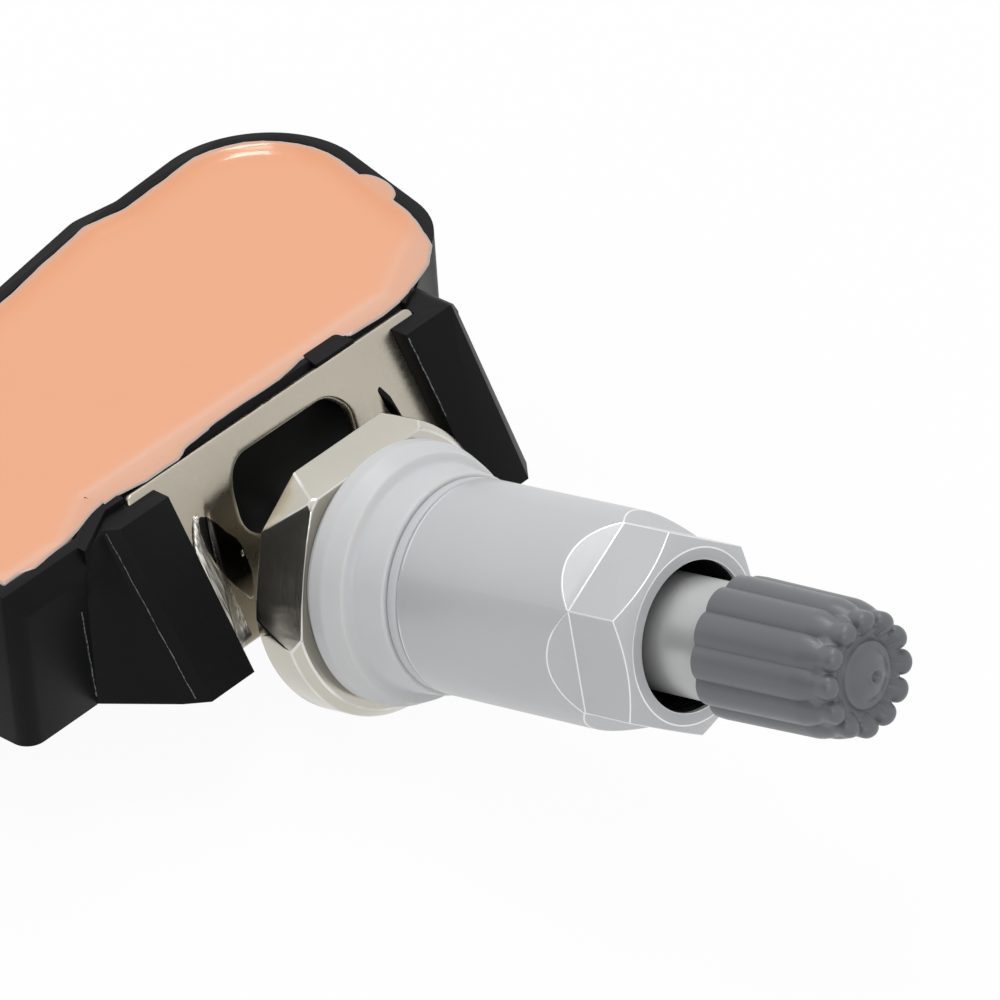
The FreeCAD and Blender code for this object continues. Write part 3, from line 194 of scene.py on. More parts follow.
@dataclass(frozen=True)
class Finish:
    """A procedural surface finish.

    Attributes:
        name: Name of the material.
        colour: Display colour of the surface.
        shade: Display colour of its darker patches.
        rough: Mean roughness.
        metal: Metallic share.
        grain: Kind of fine structure.
        grain_size: Size of the structure in millimetres.
        grain_depth: Height of the structure in millimetres.
        patch: Share of the darker colour in the patches.
        specks: Share of fine pits or dust specks.
        fleck: Share of the darker colour in the fine structure.
        soft: Subsurface weight.
        soft_reach: Subsurface reach in millimetres.
        coat: Clear coat weight.
        gloss: Specular level.
        mark: Display colour where the mesh carries its mark, if any; on the compound it is a pale film, on
            the bracket's pale roll it is painted shade.
        mark_rough: Roughness there.
    """

    name: str
    colour: Triple
    shade: Triple
    rough: float
    metal: float = 0.0
    grain: Grain = Grain.MOULDED
    grain_size: float = 0.3
    grain_depth: float = 0.01
    patch: float = 0.35
    specks: float = 0.0
    fleck: float = 0.0
    soft: float = 0.0
    soft_reach: float = 1.0
    coat: float = 0.0
    gloss: float = 0.5
    mark: Optional[Triple] = None
    mark_rough: float = 0.3

    def vector(self, sheet: NodeSheet) -> Socket:
        """Build the coordinates that the fine structure follows.

        Args:
            sheet: Where the nodes go.

        Returns:
            The vector's socket.
        """
        place = sheet.add("ShaderNodeTexCoord").outputs["Object"]
        if self.grain in (Grain.MOULDED, Grain.CAST):
            return place
        parts = sheet.add("ShaderNodeSeparateXYZ")
        sheet.join(place, parts.inputs[0])
        x, y, z = parts.outputs
        if self.grain is Grain.TURNED:
            squares = [sheet.math("MULTIPLY", side, side) for side in (x, y)]
            radius = sheet.math("SQRT", sheet.math("ADD", *squares))
            ends = (radius, z, sheet.math("MULTIPLY", x, 0.04))
        elif self.grain is Grain.BRUSHED:
            ends = (sheet.math("MULTIPLY", x, 0.06), y, z)
        else:
            waves = [sheet.math("SINE", sheet.math("MULTIPLY", side, WEAVE_WAVES)) for side in (x, y, z)]
            ends = tuple(sheet.math("MULTIPLY", wave, MM) for wave in waves)
        bundle = sheet.add("ShaderNodeCombineXYZ")
        for end, socket in zip(ends, bundle.inputs):
            sheet.join(end, socket)
        return bundle.outputs[0]

    def build(self) -> bpy.types.Material:
        """Build the material, or find it if it is there.

        Returns:
            The material.
        """
        title = self.name + "_finish"
        if title in bpy.data.materials:
            return bpy.data.materials[title]
        material = bpy.data.materials.new(title)
        material.use_nodes = True
        sheet = NodeSheet(material.node_tree)
        shader = material.node_tree.nodes["Principled BSDF"]
        place = sheet.add("ShaderNodeTexCoord").outputs["Object"]
        broad = sheet.noise(place, BROAD_CELLS, 4.0)
        fine = sheet.noise(self.vector(sheet), 1.0 / (self.grain_size * MM), 2.0)
        colour = sheet.blend(self.colour, self.shade, sheet.span(broad, 0.35, 0.75, 0.0, self.patch))
        if self.fleck:
            colour = sheet.blend(colour, self.shade, sheet.span(fine, 0.42, 0.62, 0.0, self.fleck))
        if self.specks:
            dots = sheet.noise(place, SPECK_CELLS, 1.0)
            colour = sheet.blend(colour, self.shade, sheet.span(dots, 0.72, 0.76, 0.0, self.specks))
        both = sheet.math("ADD", sheet.math("MULTIPLY", broad, 0.5), sheet.math("MULTIPLY", fine, 0.5))
        spread = (0.06 if self.grain is Grain.CAST else 0.25) * self.rough
        roughness = sheet.span(both, 0.3, 0.7, self.rough - spread, self.rough + spread)
        if self.mark:
            share = sheet.add("ShaderNodeAttribute", attribute_name="mark").outputs["Fac"]
            colour = sheet.blend(colour, self.mark, share)
            change = sheet.math("SUBTRACT", self.mark_rough, roughness)
            roughness = sheet.math("ADD", roughness, sheet.math("MULTIPLY", change, share))
        bump = sheet.add("ShaderNodeBump")
        bump.inputs["Strength"].default_value = 1.0
        bump.inputs["Distance"].default_value = self.grain_depth * MM
        sheet.join(fine, bump.inputs["Height"])
        joined = {"Base Color": colour, "Roughness": roughness, "Normal": bump.outputs[0]}
        for key, socket in joined.items():
            sheet.join(socket, shader.inputs[key])
        for key, value in {
            "Metallic": self.metal,
            "Subsurface Weight": self.soft,
            "Subsurface Scale": self.soft_reach * MM,
            "Subsurface Radius": (1.0, 0.7, 0.5),
            "Coat Weight": self.coat,
            "Coat Roughness": 0.08,
            "Specular IOR Level": self.gloss,
        }.items():
            shader.inputs[key].default_value = value
        return material


class Finishes:
    """Every finish of the part, those of the material slots among them."""

    case_plastic = Finish(
        "case_plastic", (0.06, 0.062, 0.067), (0.04, 0.041, 0.045), 0.45,
        grain_size=0.12, grain_depth=0.003, patch=0.6, specks=0.3, gloss=0.1,
    )
    # Bevels along the tub's edges, painted lighter than the plastic as a highlight.
    case_edge_highlight = Finish(
        "case_edge_highlight", (0.2, 0.205, 0.215), (0.09, 0.092, 0.1), 0.4,
        grain_size=0.3, grain_depth=0.006, patch=1.0, gloss=0.3,
    )
    # Fine raised lines on the tub, painted light grey on the black plastic as highlights along its edges and
    # a groove.
    case_highlight_line = Finish(
        "case_highlight_line", (0.52, 0.525, 0.535), (0.1, 0.1, 0.105), 0.35,
        grain_size=0.25, grain_depth=0.006, patch=0.6, fleck=0.9, gloss=0.4,
    )
    # Black of the thread in the nut's wide bore: painted shade for the shadow inside the bore.
    bore_painted_shade = Finish(
        "bore_painted_shade", (0.05, 0.05, 0.052), (0.03, 0.03, 0.032), 0.3,
        grain=Grain.TURNED, grain_size=0.1, grain_depth=0.004, gloss=0.5,
    )
    potting = Finish(
        "potting", (0.915, 0.625, 0.445), (0.905, 0.61, 0.43), 0.3, grain=Grain.CAST,
        grain_size=2.5, grain_depth=0.002, patch=0.4, gloss=0.4, coat=0.9,
        mark=(0.64, 0.62, 0.6), mark_rough=0.2,
    )
    board_laminate = Finish(
        "board_laminate", (0.07, 0.36, 0.2), (0.04, 0.26, 0.14), 0.3,
        grain_size=0.8, grain_depth=0.01, coat=0.5,
    )
    cell_steel = Finish(
        "cell_steel", (0.8, 0.8, 0.79), (0.68, 0.68, 0.67), 0.3, metal=1.0,
        grain=Grain.BRUSHED, grain_size=0.1, grain_depth=0.004,
    )
    contact_metal = Finish(
        "contact_metal", (0.84, 0.82, 0.77), (0.7, 0.68, 0.62), 0.28, metal=1.0,
        grain=Grain.BRUSHED, grain_size=0.12, grain_depth=0.004,
    )
    chip_package = Finish(
        "chip_package", (0.09, 0.09, 0.095), (0.06, 0.06, 0.06), 0.55,
        grain_size=0.08, grain_depth=0.006, specks=0.2,
    )
    capacitor_body = Finish(
        "capacitor_body", (0.68, 0.5, 0.34), (0.56, 0.4, 0.27), 0.35,
        grain_size=0.2, grain_depth=0.006,
    )
    coil_ferrite = Finish(
        "coil_ferrite", (0.2, 0.19, 0.19), (0.13, 0.12, 0.12), 0.5,
        grain_size=0.1, grain_depth=0.01, specks=0.3,
    )
    seal_rubber = Finish(
        "seal_rubber", (0.12, 0.12, 0.12), (0.08, 0.08, 0.08), 0.6,
        grain_size=0.2, grain_depth=0.006,
    )
    filter_cloth = Finish(
        "filter_cloth", (0.92, 0.92, 0.9), (0.8, 0.8, 0.78), 0.75, grain=Grain.WOVEN,
        grain_size=0.2, grain_depth=0.02,
    )
    bracket_nickel = Finish(
        "bracket_nickel", (0.725, 0.7, 0.645), (0.675, 0.645, 0.585), 0.3, metal=1.0,
        grain_size=0.35, grain_depth=0.005, patch=0.5, specks=0.25,
    )
    # Rolled bend of the seat: pale with bright streaks as a painted highlight; its mark paints dark shade at
    # the lower end.
    bracket_roll_highlight = Finish(
        "bracket_roll_highlight", (0.93, 0.92, 0.89), (0.45, 0.44, 0.41), 0.32, metal=1.0,
        grain=Grain.BRUSHED, grain_size=0.11, grain_depth=0.02, patch=0.3, fleck=0.95,
        mark=(0.13, 0.13, 0.125), mark_rough=0.3,
    )
    bracket_shadow = Finish(
        "bracket_shadow", (0.1, 0.1, 0.105), (0.3, 0.29, 0.27), 0.24, metal=1.0,
        grain=Grain.CAST, grain_size=0.2, grain_depth=0.006, patch=0.2, specks=0.8,
        mark=(0.62, 0.6, 0.56), mark_rough=0.25,
    )
    bracket_glint = Finish(
        "bracket_glint", (0.97, 0.97, 0.96), (0.85, 0.84, 0.82), 0.12, metal=1.0,
        grain_size=0.4, grain_depth=0.003,
    )
    screw_steel = Finish(
        "screw_steel", (0.72, 0.72, 0.71), (0.6, 0.6, 0.59), 0.3, metal=1.0,
        grain=Grain.TURNED, grain_size=0.06, grain_depth=0.004,
    )
    stem_nickel = Finish(
        "stem_nickel", (0.77, 0.755, 0.715), (0.72, 0.7, 0.655), 0.22, metal=1.0,
        grain=Grain.TURNED, grain_size=0.1, grain_depth=0.004, patch=0.5, specks=0.15,
    )
    # Rounded edges of the flange, painted brighter than the nickel as highlights.
    stem_edge_highlight = Finish(
        "stem_edge_highlight", (0.93, 0.92, 0.9), (0.4, 0.39, 0.36), 0.12, metal=1.0,
        grain_size=0.5, grain_depth=0.01, patch=0.9,
    )
    stem_tube = Finish(
        "stem_tube", (0.72, 0.722, 0.725), (0.69, 0.692, 0.695), 0.34, metal=0.45,
        grain=Grain.TURNED, grain_size=0.1, grain_depth=0.002, patch=0.4, specks=0.1,
    )
    seal_silicone = Finish(
        "seal_silicone", (0.805, 0.81, 0.815), (0.765, 0.77, 0.777), 0.4,
        grain_size=0.25, grain_depth=0.004, patch=0.4, soft=0.5, soft_reach=1.6,
    )
    washer_plastic = Finish(
        "washer_plastic", (0.77, 0.78, 0.79), (0.7, 0.71, 0.72), 0.4,
        grain_size=0.2, grain_depth=0.004,
    )
    nut_coat = Finish(
        "nut_coat", (0.75, 0.755, 0.762), (0.725, 0.73, 0.738), 0.4, metal=0.12,
        grain_size=0.06, grain_depth=0.001, patch=0.5, coat=0.15,
    )
    # Rounded edges of the nut, painted brighter than its coat as highlights.
    nut_edge_highlight = Finish(
        "nut_edge_highlight", (0.95, 0.955, 0.96), (0.86, 0.865, 0.87), 0.18, metal=0.5,
        grain_size=0.4, grain_depth=0.002, patch=0.6, coat=0.3,
    )
    core_brass = Finish(
        "core_brass", (0.85, 0.71, 0.42), (0.74, 0.6, 0.33), 0.25, metal=1.0,
        grain=Grain.TURNED, grain_size=0.05, grain_depth=0.003,
    )
    core_rubber = Finish(
        "core_rubber", (0.11, 0.11, 0.12), (0.08, 0.08, 0.08), 0.6,
        grain_size=0.15, grain_depth=0.005,
    )
    cap_plastic = Finish(
        "cap_plastic", (0.395, 0.405, 0.42), (0.36, 0.37, 0.385), 0.36,
        grain_size=0.14, grain_depth=0.005, patch=0.5, specks=0.25, gloss=0.5,
    )


def stem_place() -> Matrix:
    """Frame whose Z runs out along the stem."""
    return Matrix.Rotation(math.pi / 2 - STEM_TILT, 4, "X")


def plate_place() -> Matrix:
    """Frame of the leaning plate: X across, Y down the plate, Z into the case."""
    across = Vector((1.0, 0.0, 0.0))
    down = Vector((0.0, -math.cos(PLATE_LEAN), -math.sin(PLATE_LEAN)))
    inward = Vector((0.0, math.sin(PLATE_LEAN), -math.cos(PLATE_LEAN)))
    turn = Matrix((across, down, inward)).transposed().to_4x4()
    return Matrix.Translation(Vector((0.0, *PLATE_TOP)) * MM) @ turn


def soften(points: Sequence[Point], radii: Sequence[float], steps: int = 6) -> list[Point]:
    """Round the corners of a polygon.

    Args:
        points: The corners.
        radii: Corner radius for each corner, zero for a sharp one.
        steps: Pieces of each arc.

    Returns:
        The rounded line's points.
    """
    line: list[Point] = []
    for index, (point, radius) in enumerate(zip(points, radii)):
        here = Vector(point)
        if radius <= 0:
            line.append((here.x, here.y))
            continue
        before = (Vector(points[index - 1]) - here).normalized()
        after = (Vector(points[(index + 1) % len(points)]) - here).normalized()
        half = before.angle(after) / 2
        if half > math.pi / 2 - 0.01:
            line.append((here.x, here.y))
            continue
        reach = radius / math.tan(half)
        centre = here + (before + after).normalized() * (radius / math.sin(half))
        first = here + before * reach - centre
        last = here + after * reach - centre
        sweep = math.atan2(first.x * last.y - first.y * last.x, first.dot(last))
        for step in range(steps + 1):
            angle = sweep * step / steps
            turned = Matrix.Rotation(angle, 2) @ first
            line.append((centre.x + turned.x, centre.y + turned.y))
    return line


@dataclass(frozen=True)
class Outline:
    """A closed outline seen from above, anticlockwise, with a radius at each corner."""

    corners: tuple[Point, ...]
    radii: tuple[float, ...]

    def inset(self, distances: Sequence[float]) -> "Outline":
        """Move each side inwards.

        Args:
            distances: One distance for the side after each corner.

        Returns:
            The smaller outline.
        """
        count = len(self.corners)
        sides = []
        for index in range(count):
            start = Vector(self.corners[index])
            along = (Vector(self.corners[(index + 1) % count]) - start).normalized()
            inward = Vector((-along.y, along.x))
            sides.append((start + inward * distances[index], along))
        corners = []
        radii = []
        for index in range(count):
            base, along = sides[index - 1]
            other, heading = sides[index]
            cross = along.x * heading.y - along.y * heading.x
            gap = other - base
            reach = (gap.x * heading.y - gap.y * heading.x) / cross
            corners.append(tuple(base + along * reach))
            shift = (distances[index - 1] + distances[index]) / 2
            if self.radii[index] == 0:
                radii.append(0.0)
            elif cross > 0:
                radii.append(max(self.radii[index] - shift, 0.3))
            else:
                radii.append(self.radii[index] + shift)
        return Outline(tuple(corners), tuple(radii))

    def even(self, distance: float) -> "Outline":
        """Move every side inwards by the same distance."""
        return self.inset([distance] * len(self.corners)) if distance else self

    def ring(self, height: float = 0.0, steps: int = 10, parts: int = 16) -> list[Vector]:
        """Points of the outline at a height, with its straight sides divided.

        Args:
            height: Height of the points.
            steps: Pieces of each corner's arc.
            parts: Pieces of each straight side.

        Returns:
            The points, as many for every inset of the same outline.
        """
        line = soften(self.corners, self.radii, steps)
        spans = []
        for radius in self.radii:
            spans += [1] * (steps if radius else 0) + [parts]
        points = []
        for index, span in enumerate(spans):
            start, stop = Vector(line[index]), Vector(line[(index + 1) % len(line)])
            points += [(start.lerp(stop, part / span)).to_3d() for part in range(span)]
        return [Vector((p.x, p.y, height)) for p in points]

    def loop(self, steps: int, parts: int) -> list[Vector]:
        """Points of the outline in its own plane."""
        return [p.to_2d() for p in self.ring(0.0, steps, parts)]


class Shape:
    """Vertices and faces that are gathered before they become a mesh."""

    def __init__(self) -> None:
        """Start with nothing."""
        self.points: list[Vector] = []
        self.faces: list[tuple[int, ...]] = []
        self.marks: dict[int, float] = {}

    def ring(self, points: Sequence[Vector], mark: float = 0.0) -> list[int]:
        """Add loose points.

        Args:
            points: Where they lie.
            mark: Strength of the finish's mark there.

        Returns:
            Their numbers.
        """
        start = len(self.points)
        self.points += points
        numbers = list(range(start, len(self.points)))
        if mark:
            self.marks.update({number: mark for number in numbers})
        return numbers

    def bridge(self, first: Sequence[int], second: Sequence[int]) -> None:
        """Join two rings of the same length, either of which may be one repeated point.

        Args:
            first: Numbers of the first ring's points.
            second: Numbers of the second ring's points.
        """
        for index in range(len(first)):
            after = (index + 1) % len(first)
            face = tuple(dict.fromkeys((first[index], first[after], second[after], second[index])))
            if len(face) > 2:
                self.faces.append(face)

    def close(self, tops: Sequence[Vector], backs: Sequence[Vector], faces: Sequence[list[int]]) -> None:
        """Add a sheet's top and back and the walls along its open sides.

        Args:
            tops: Points of the top.
            backs: Points of the back.
            faces: Numbers of each face's corners, the same for both.
        """
        top, back = self.ring(tops), self.ring(backs)
        sides: dict[tuple[int, int], None] = {}
        for face in faces:
            self.faces += [tuple(top[i] for i in face), tuple(back[i] for i in reversed(face))]
            for a, b in zip(face, face[1:] + face[:1]):
                if (b, a) in sides:
                    del sides[(b, a)]
                else:
                    sides[(a, b)] = None
        self.faces += [(top[a], top[b], back[b], back[a]) for a, b in sides]

    def build(self, name: str, place: Optional[Matrix] = None, smooth: float = 35.0) -> Thing:
        """Make the object.

        Args:
            name: Name of the object.
            place: Matrix from the shape's own axes to the world, if they differ.
            smooth: Angle in degrees above which an edge stays sharp.

        Returns:
            The new object, whose vertices are in metres along its own axes.
        """
        mesh = bpy.data.meshes.new(name)
        mesh.from_pydata([tuple(p * MM) for p in self.points], [], self.faces)
        if self.marks:
            layer = mesh.attributes.new("mark", "FLOAT", "POINT")
            for number, strength in self.marks.items():
                layer.data[number].value = strength
        mesh.validate()
        mesh.update()
        edit(mesh)
        thing = add_object(name, mesh)
        thing.matrix_world = place or Matrix.Identity(4)
        soften_shading(thing, smooth)
        return thing


def add_object(name: str, data: bpy.types.ID) -> Thing:
    """Put an object with its data into the scene."""
    thing = bpy.data.objects.new(name, data)
    bpy.context.scene.collection.objects.link(thing)
    return thing


def edit(mesh: bpy.types.Mesh, change: Optional[Callable[[bmesh.types.BMesh], None]] = None) -> None:
    """Change a mesh and turn its faces outwards.

    Args:
        mesh: The mesh.
        change: What is done to it before, if anything.
    """
    work = bmesh.new()
    work.from_mesh(mesh)
    if change:
        change(work)
    bmesh.ops.recalc_face_normals(work, faces=work.faces)
    work.to_mesh(mesh)
    work.free()


def soften_shading(thing: Thing, angle: float) -> None:
    """Shade a mesh smoothly apart from its sharp edges."""
    thing.data.shade_smooth()
    thing.data.set_sharp_from_angle(angle=math.radians(angle))


def loft(
    name: str,
    rings: Sequence[Sequence[Vector]],
    place: Optional[Matrix] = None,
    smooth: float = 35.0,
    marks: Sequence[float] = (),
) -> Thing:
    """Join a row of rings and close its ends.

    Args:
        name: Name of the object.
        rings: The rings, each with the same number of points.
        place: Matrix from the rings' own axes to the world, if they differ.
        smooth: Angle in degrees above which an edge stays sharp.
        marks: Strength of the finish's mark on each ring, if there is one.

    Returns:
        The new object.
    """
    shape = Shape()
    numbers = [shape.ring(r, m) for r, m in zip(rings, marks or [0.0] * len(rings))]
    for first, second in zip(numbers, numbers[1:]):
        shape.bridge(first, second)
    shape.faces += [tuple(reversed(numbers[0])), tuple(numbers[-1])]
    return shape.build(name, place, smooth)


def lathe(
    name: str, rows: Sequence[Point], segments: int = 180, smooth: float = 28.0, closed: bool = True
) -> Thing:
    """Turn a profile about the stem's axis.

    Args:
        name: Name of the object.
        rows: Radius and height of each corner of the profile.
        segments: Pieces round the axis.
        smooth: Angle in degrees above which an edge stays sharp.
        closed: Whether the last row joins the first.

    Returns:
        The new object.
    """
    shape = Shape()
    angles = [2 * math.pi * index / segments for index in range(segments)]
    numbers = []
    for radius, height in rows:
        if radius == 0:
            numbers.append(shape.ring([Vector((0, 0, height))]) * segments)
        else:
            spots = [Vector((radius * math.cos(a), radius * math.sin(a), height)) for a in angles]
            numbers.append(shape.ring(spots))
    for first, second in zip(numbers, numbers[1:] + (numbers[:1] if closed else [])):
        shape.bridge(first, second)
    return shape.build(name, stem_place(), smooth)


def flat_tool(angle: float, cuts: Sequence[tuple[float, Sequence[Point]]]) -> Thing:
    """Build what a flat takes off a turned piece.

    Args:
        angle: Direction it faces round the stem, in degrees.
        cuts: Place along the flat, and there the section's distances from the axis and heights.

    Returns:
        The tool, in the stem's place.
    """
    turn = Matrix.Rotation(math.radians(angle), 3, "Z")
    rings = [[turn @ Vector((far, side, height)) for far, height in section] for side, section in cuts]
    return loft("flat_tool", rings, stem_place())


def carve(thing: Thing, tools: Sequence[Thing]) -> None:
    """Cut other meshes out of a mesh, and drop them.

    Args:
        thing: The mesh that is cut.
        tools: The meshes that cut it.
    """
    for tool in tools:
        modifier = thing.modifiers.new("carve", "BOOLEAN")
        modifier.operation = "DIFFERENCE"
        modifier.solver = "EXACT"
        modifier.object = tool
    bake(thing)
    for tool in tools:
        bpy.data.objects.remove(tool, do_unlink=True)


def bake(thing: Thing) -> None:
    """Apply all modifiers of a mesh."""
    bpy.context.view_layer.update()
    graph = bpy.context.evaluated_depsgraph_get()
    mesh = bpy.data.meshes.new_from_object(thing.evaluated_get(graph))
    thing.modifiers.clear()
    thing.data = mesh


def round_edges(
    thing: Thing, width: float, angle: float, finishes: Sequence[Finish], clamp: bool = True
) -> None:
    """Round the sharp edges of a mesh.

    Args:
        thing: The mesh.
        width: Width of the rounding in millimetres.
        angle: Edges sharper than this are rounded, in degrees.
        finishes: Finish of the faces and finish of the rounding, which is painted lighter as a highlight.
        clamp: Keep the rounding inside the smallest face.
    """
    modifier = thing.modifiers.new("edges", "BEVEL")
    thing.data.materials.clear()
    for finish in finishes:
        thing.data.materials.append(finish.build())
    modifier.material = 1
    modifier.width = width * MM
    modifier.limit_method = "ANGLE"
    modifier.angle_limit = math.radians(angle)
    modifier.segments = 3
    modifier.use_clamp_overlap = clamp
    bake(thing)
    soften_shading(thing, 50.0)


def dress(thing: Thing, finish: Finish, body: Body, *nodes: str, slot: str = "") -> None:
    """Give a piece its finish, its body and the nodes that it stands for.

    Args:
        thing: The piece.
        finish: Its finish.
        body: The body that it moves with.
        *nodes: Construction nodes that it replaces.
        slot: The material slot, if it isn't named like the finish; not used.
    """
    if not thing.data.materials:
        thing.data.materials.append(finish.build())
    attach(thing, body.value)
    if nodes:
        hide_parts(*nodes)
    LOG.info("%s: %d faces", thing.name, len(thing.data.polygons))


def rise(step: float, radius: float) -> float:
    """A ramp that leaves zero smoothly within a radius of the start."""
    if step <= -radius:
        return 0.0
    return step if step >= radius else (step + radius) ** 2 / (4 * radius)


def ripple(place: float, seed: float) -> float:
    """A quiet uneven wave between about -1 and 1, shifted by the seed."""
    waves = ((1.0, 0.41, 1.0), (0.6, 1.13, 2.3), (0.3, 2.7, 4.1))
    return sum(height * math.sin(pace * place + shift * seed) for height, pace, shift in waves) / 1.9


@dataclass
class Housing:
    """The black moulded tub with its two cheeks.

    Attributes:
        outer: Outline of the outer wall.
        rim: Height of the rim.
        wall: Thickness of the wall.
        near_walls: Width of the rim along the first three sides, at the front.
        edge_round: Rounding of the moulded edges.
        cheek_corner: Top outer corner of the right cheek.
        corner_round: Its rounding.
        corner_zone: Least x, greatest y and least z of what is cut for it.
        corner_front: Greatest y of the cheek's leaning front.
        fold: Width, front and slope of the thin fold beside it, which is closed.
        line_size: Half width, depth and height of the fine raised lines that are painted light as highlights.
        lobe_line: Ends of the line on the left lobe.
        left_line: Ends of the line on the left cheek.
        right_line: Ends of the line on the right cheek.
        rim_tab: Left, front, right and back of the rim's small tab.
    """

    outer: Outline = Outline(
        (
            (-28.1, 8.5), (-21.4, 8.5), (-16.5, 11.0), (14.0, 11.0), (24.2, 16.35), (29.9, 38.5),
            (12.2, 37.1), (8.4, 37.75), (-8.5, 34.7), (-16.5, 35.9), (-28.1, 34.4),
        ),
        (1.4, 0.0, 0.0, 4.0, 7.0, 8.2, 3.0, 3.0, 9.0, 5.0, 8.5),
    )
    rim: float = 9.73
    wall: float = 1.1
    near_walls: Triple = (1.9, 1.4, 1.8)
    edge_round: float = 0.13
    cheek_corner: Point = (17.95, 9.23)
    corner_round: float = 1.3
    corner_zone: Triple = (11.9, 15.0, -3.0)
    corner_front: float = 10.2
    fold: Triple = (0.06, 9.35, 0.53)
    line_size: Triple = (0.05, 0.1, 0.06)
    lobe_line: tuple[Triple, Triple] = ((-22.0, 8.5, 5.5), (-21.45, 8.5, -1.9))
    left_line: tuple[Triple, Triple] = ((-17.72, 9.79, 9.0), (-17.2, 3.22, -2.3))
    right_line: tuple[Triple, Triple] = ((12.28, 9.02, 9.0), (12.28, 5.93, 3.6))
    rim_tab: Quad = (5.1, 11.2, 9.1, 12.75)

    def inner(self) -> Outline:
        """Outline of the tub's opening."""
        others = len(self.outer.corners) - len(self.near_walls)
        return self.outer.inset([*self.near_walls, *[self.wall] * others])

    def clean(self, work: bmesh.types.BMesh) -> None:
        """Join the flat faces of the construction solid's triangles."""
        bmesh.ops.remove_doubles(work, verts=work.verts, dist=2e-6)
        bmesh.ops.dissolve_limit(work, angle_limit=math.radians(0.6), verts=work.verts, edges=work.edges)

    def soften_corner(self, work: bmesh.types.BMesh) -> None:
        """Round the right cheek's top outer corner and close the thin fold beside it.

        Args:
            work: The tub's mesh.
        """
        corner_x, corner_z = self.cheek_corner
        radius = self.corner_round
        x, z = corner_x - radius, corner_z - radius
        (ax, ay), (bx, by) = self.outer.corners[3:5]
        grade = (by - ay) / (bx - ax)
        least_x, most_y, least_z = (side * MM for side in self.corner_zone)
        for step in range(11):
            across, up = (radius * f(math.radians(9.0 * step)) for f in (math.sin, math.cos))
            for place, normal in (((x + across, 0.0, 0.0), (1, 0, 0)), ((0.0, 0.0, z + up), (0, 0, 1))):
                near = [
                    f for f in work.faces
                    if all(p.co.x > least_x and p.co.y < most_y and p.co.z > least_z for p in f.verts)
                ]
                edges, points = {e for f in near for e in f.edges}, {p for f in near for p in f.verts}
                geom, middle = [*near, *edges, *points], Vector(place) * MM
                bmesh.ops.bisect_plane(work, geom=geom, dist=1e-7, plane_co=middle, plane_no=normal)
        wide, front, slope = self.fold
        margin, touch = 0.2, 0.01
        for vertex in work.verts:
            spot = vertex.co / MM
            wall = ay + (spot.x - ax) * grade
            outside = spot.y > wall + touch or spot.x > corner_x + 2 * touch
            if outside or min(spot.x - x, spot.z - z) < -margin:
                continue
            if spot.x > corner_x - wide:
                spot.y = max(spot.y, front + slope * (spot.z - z))
            out = Vector((spot.x - x, spot.z - z))
            if min(out) > 0 and out.length > radius:
                out *= radius / out.length
                if spot.y > wall - touch:
                    spot.y = ay + (x + out.x - ax) * grade
                elif spot.y < self.corner_front:
                    spot.y -= (spot.z - z - out.y) / math.tan(PLATE_LEAN)
                spot.x, spot.z = x + out.x, z + out.y
            vertex.co = spot * MM
        bmesh.ops.remove_doubles(work, verts=work.verts, dist=1e-5)
        bmesh.ops.dissolve_limit(work, angle_limit=math.radians(2.5), verts=work.verts, edges=work.edges)

    def tub(self) -> None:
        """Build the tub from its construction solid, with softened edges painted lighter as highlights."""
        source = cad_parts["housing_case"]
        mesh = source.data.copy()
        mesh.materials.clear()
        mesh.transform(source.matrix_world)
        edit(mesh, self.clean)
        edit(mesh, self.soften_corner)
        thing = add_object("housing_tub", mesh)
        round_edges(thing, self.edge_round, 28.0, (Finishes.case_plastic, Finishes.case_edge_highlight))
        dress(thing, Finishes.case_plastic, Body.SENSOR, "housing_case")

    def hairline(self, name: str, start: Vector, end: Vector, out: Vector) -> None:
        """Build a fine raised line on a face, painted light as a highlight.

        Args:
            name: Name of the piece.
            start: One end of the line.
            end: The other end.
            out: Which way the face looks.
        """
        side = (end - start).cross(out).normalized()
        half, deep, high = self.line_size
        steps = 60
        rings = []
        for step in range(steps + 1):
            middle = start.lerp(end, step / steps) + side * 0.03 * ripple(0.9 * step, start.x)
            wide = half * (1 + 0.35 * ripple(2.1 * step, end.x))
            rings.append([
                middle - side * wide - out * deep, middle + side * wide - out * deep,
                middle + side * wide * 0.5 + out * high, middle - side * wide * 0.5 + out * high,
            ])
        dress(loft(name, rings), Finishes.case_highlight_line, Body.SENSOR, slot="case_plastic")

    def highlight_lines(self) -> None:
        """Build the fine raised lines on the lobe and on the cheeks, painted light as highlights."""
        face = Vector((0.0, -math.sin(PLATE_LEAN), math.cos(PLATE_LEAN)))
        for name, start, end, out in (
            ("lobe_highlight_line", *self.lobe_line, Vector((0.0, -1.0, 0.0))),
            ("left_highlight_line", *self.left_line, Vector((-0.668, -0.655, 0.35))),
            ("right_highlight_line", *self.right_line, face),
        ):
            self.hairline(name, Vector(start), Vector(end), out)

    def tab(self) -> None:
        """Build the small tab of the rim that lies on the compound."""
        low_x, low_y, high_x, high_y = self.rim_tab
        corners = ((low_x, low_y), (high_x, low_y), (high_x - 0.25, high_y), (low_x + 0.3, high_y))
        line = [Vector(p) for p in soften(corners, (0.05, 0.05, 0.4, 0.15))]
        middle = Vector(((low_x + high_x) / 2, (low_y + high_y) / 2))
        rings = []
        for height, inset in ((self.rim - 0.5, 0.0), (self.rim + 0.02, 0.0), (self.rim + 0.07, 0.06)):
            spots = [p + (middle - p).normalized() * inset for p in line]
            rings.append([Vector((p.x, p.y, height)) for p in spots])
        dress(loft("rim_tab", rings), Finishes.case_plastic, Body.SENSOR)

    def build(self) -> None:
        """Build the tub, the lines painted light as highlights, and the tab."""
        self.tub()
        self.highlight_lines()
        self.tab()


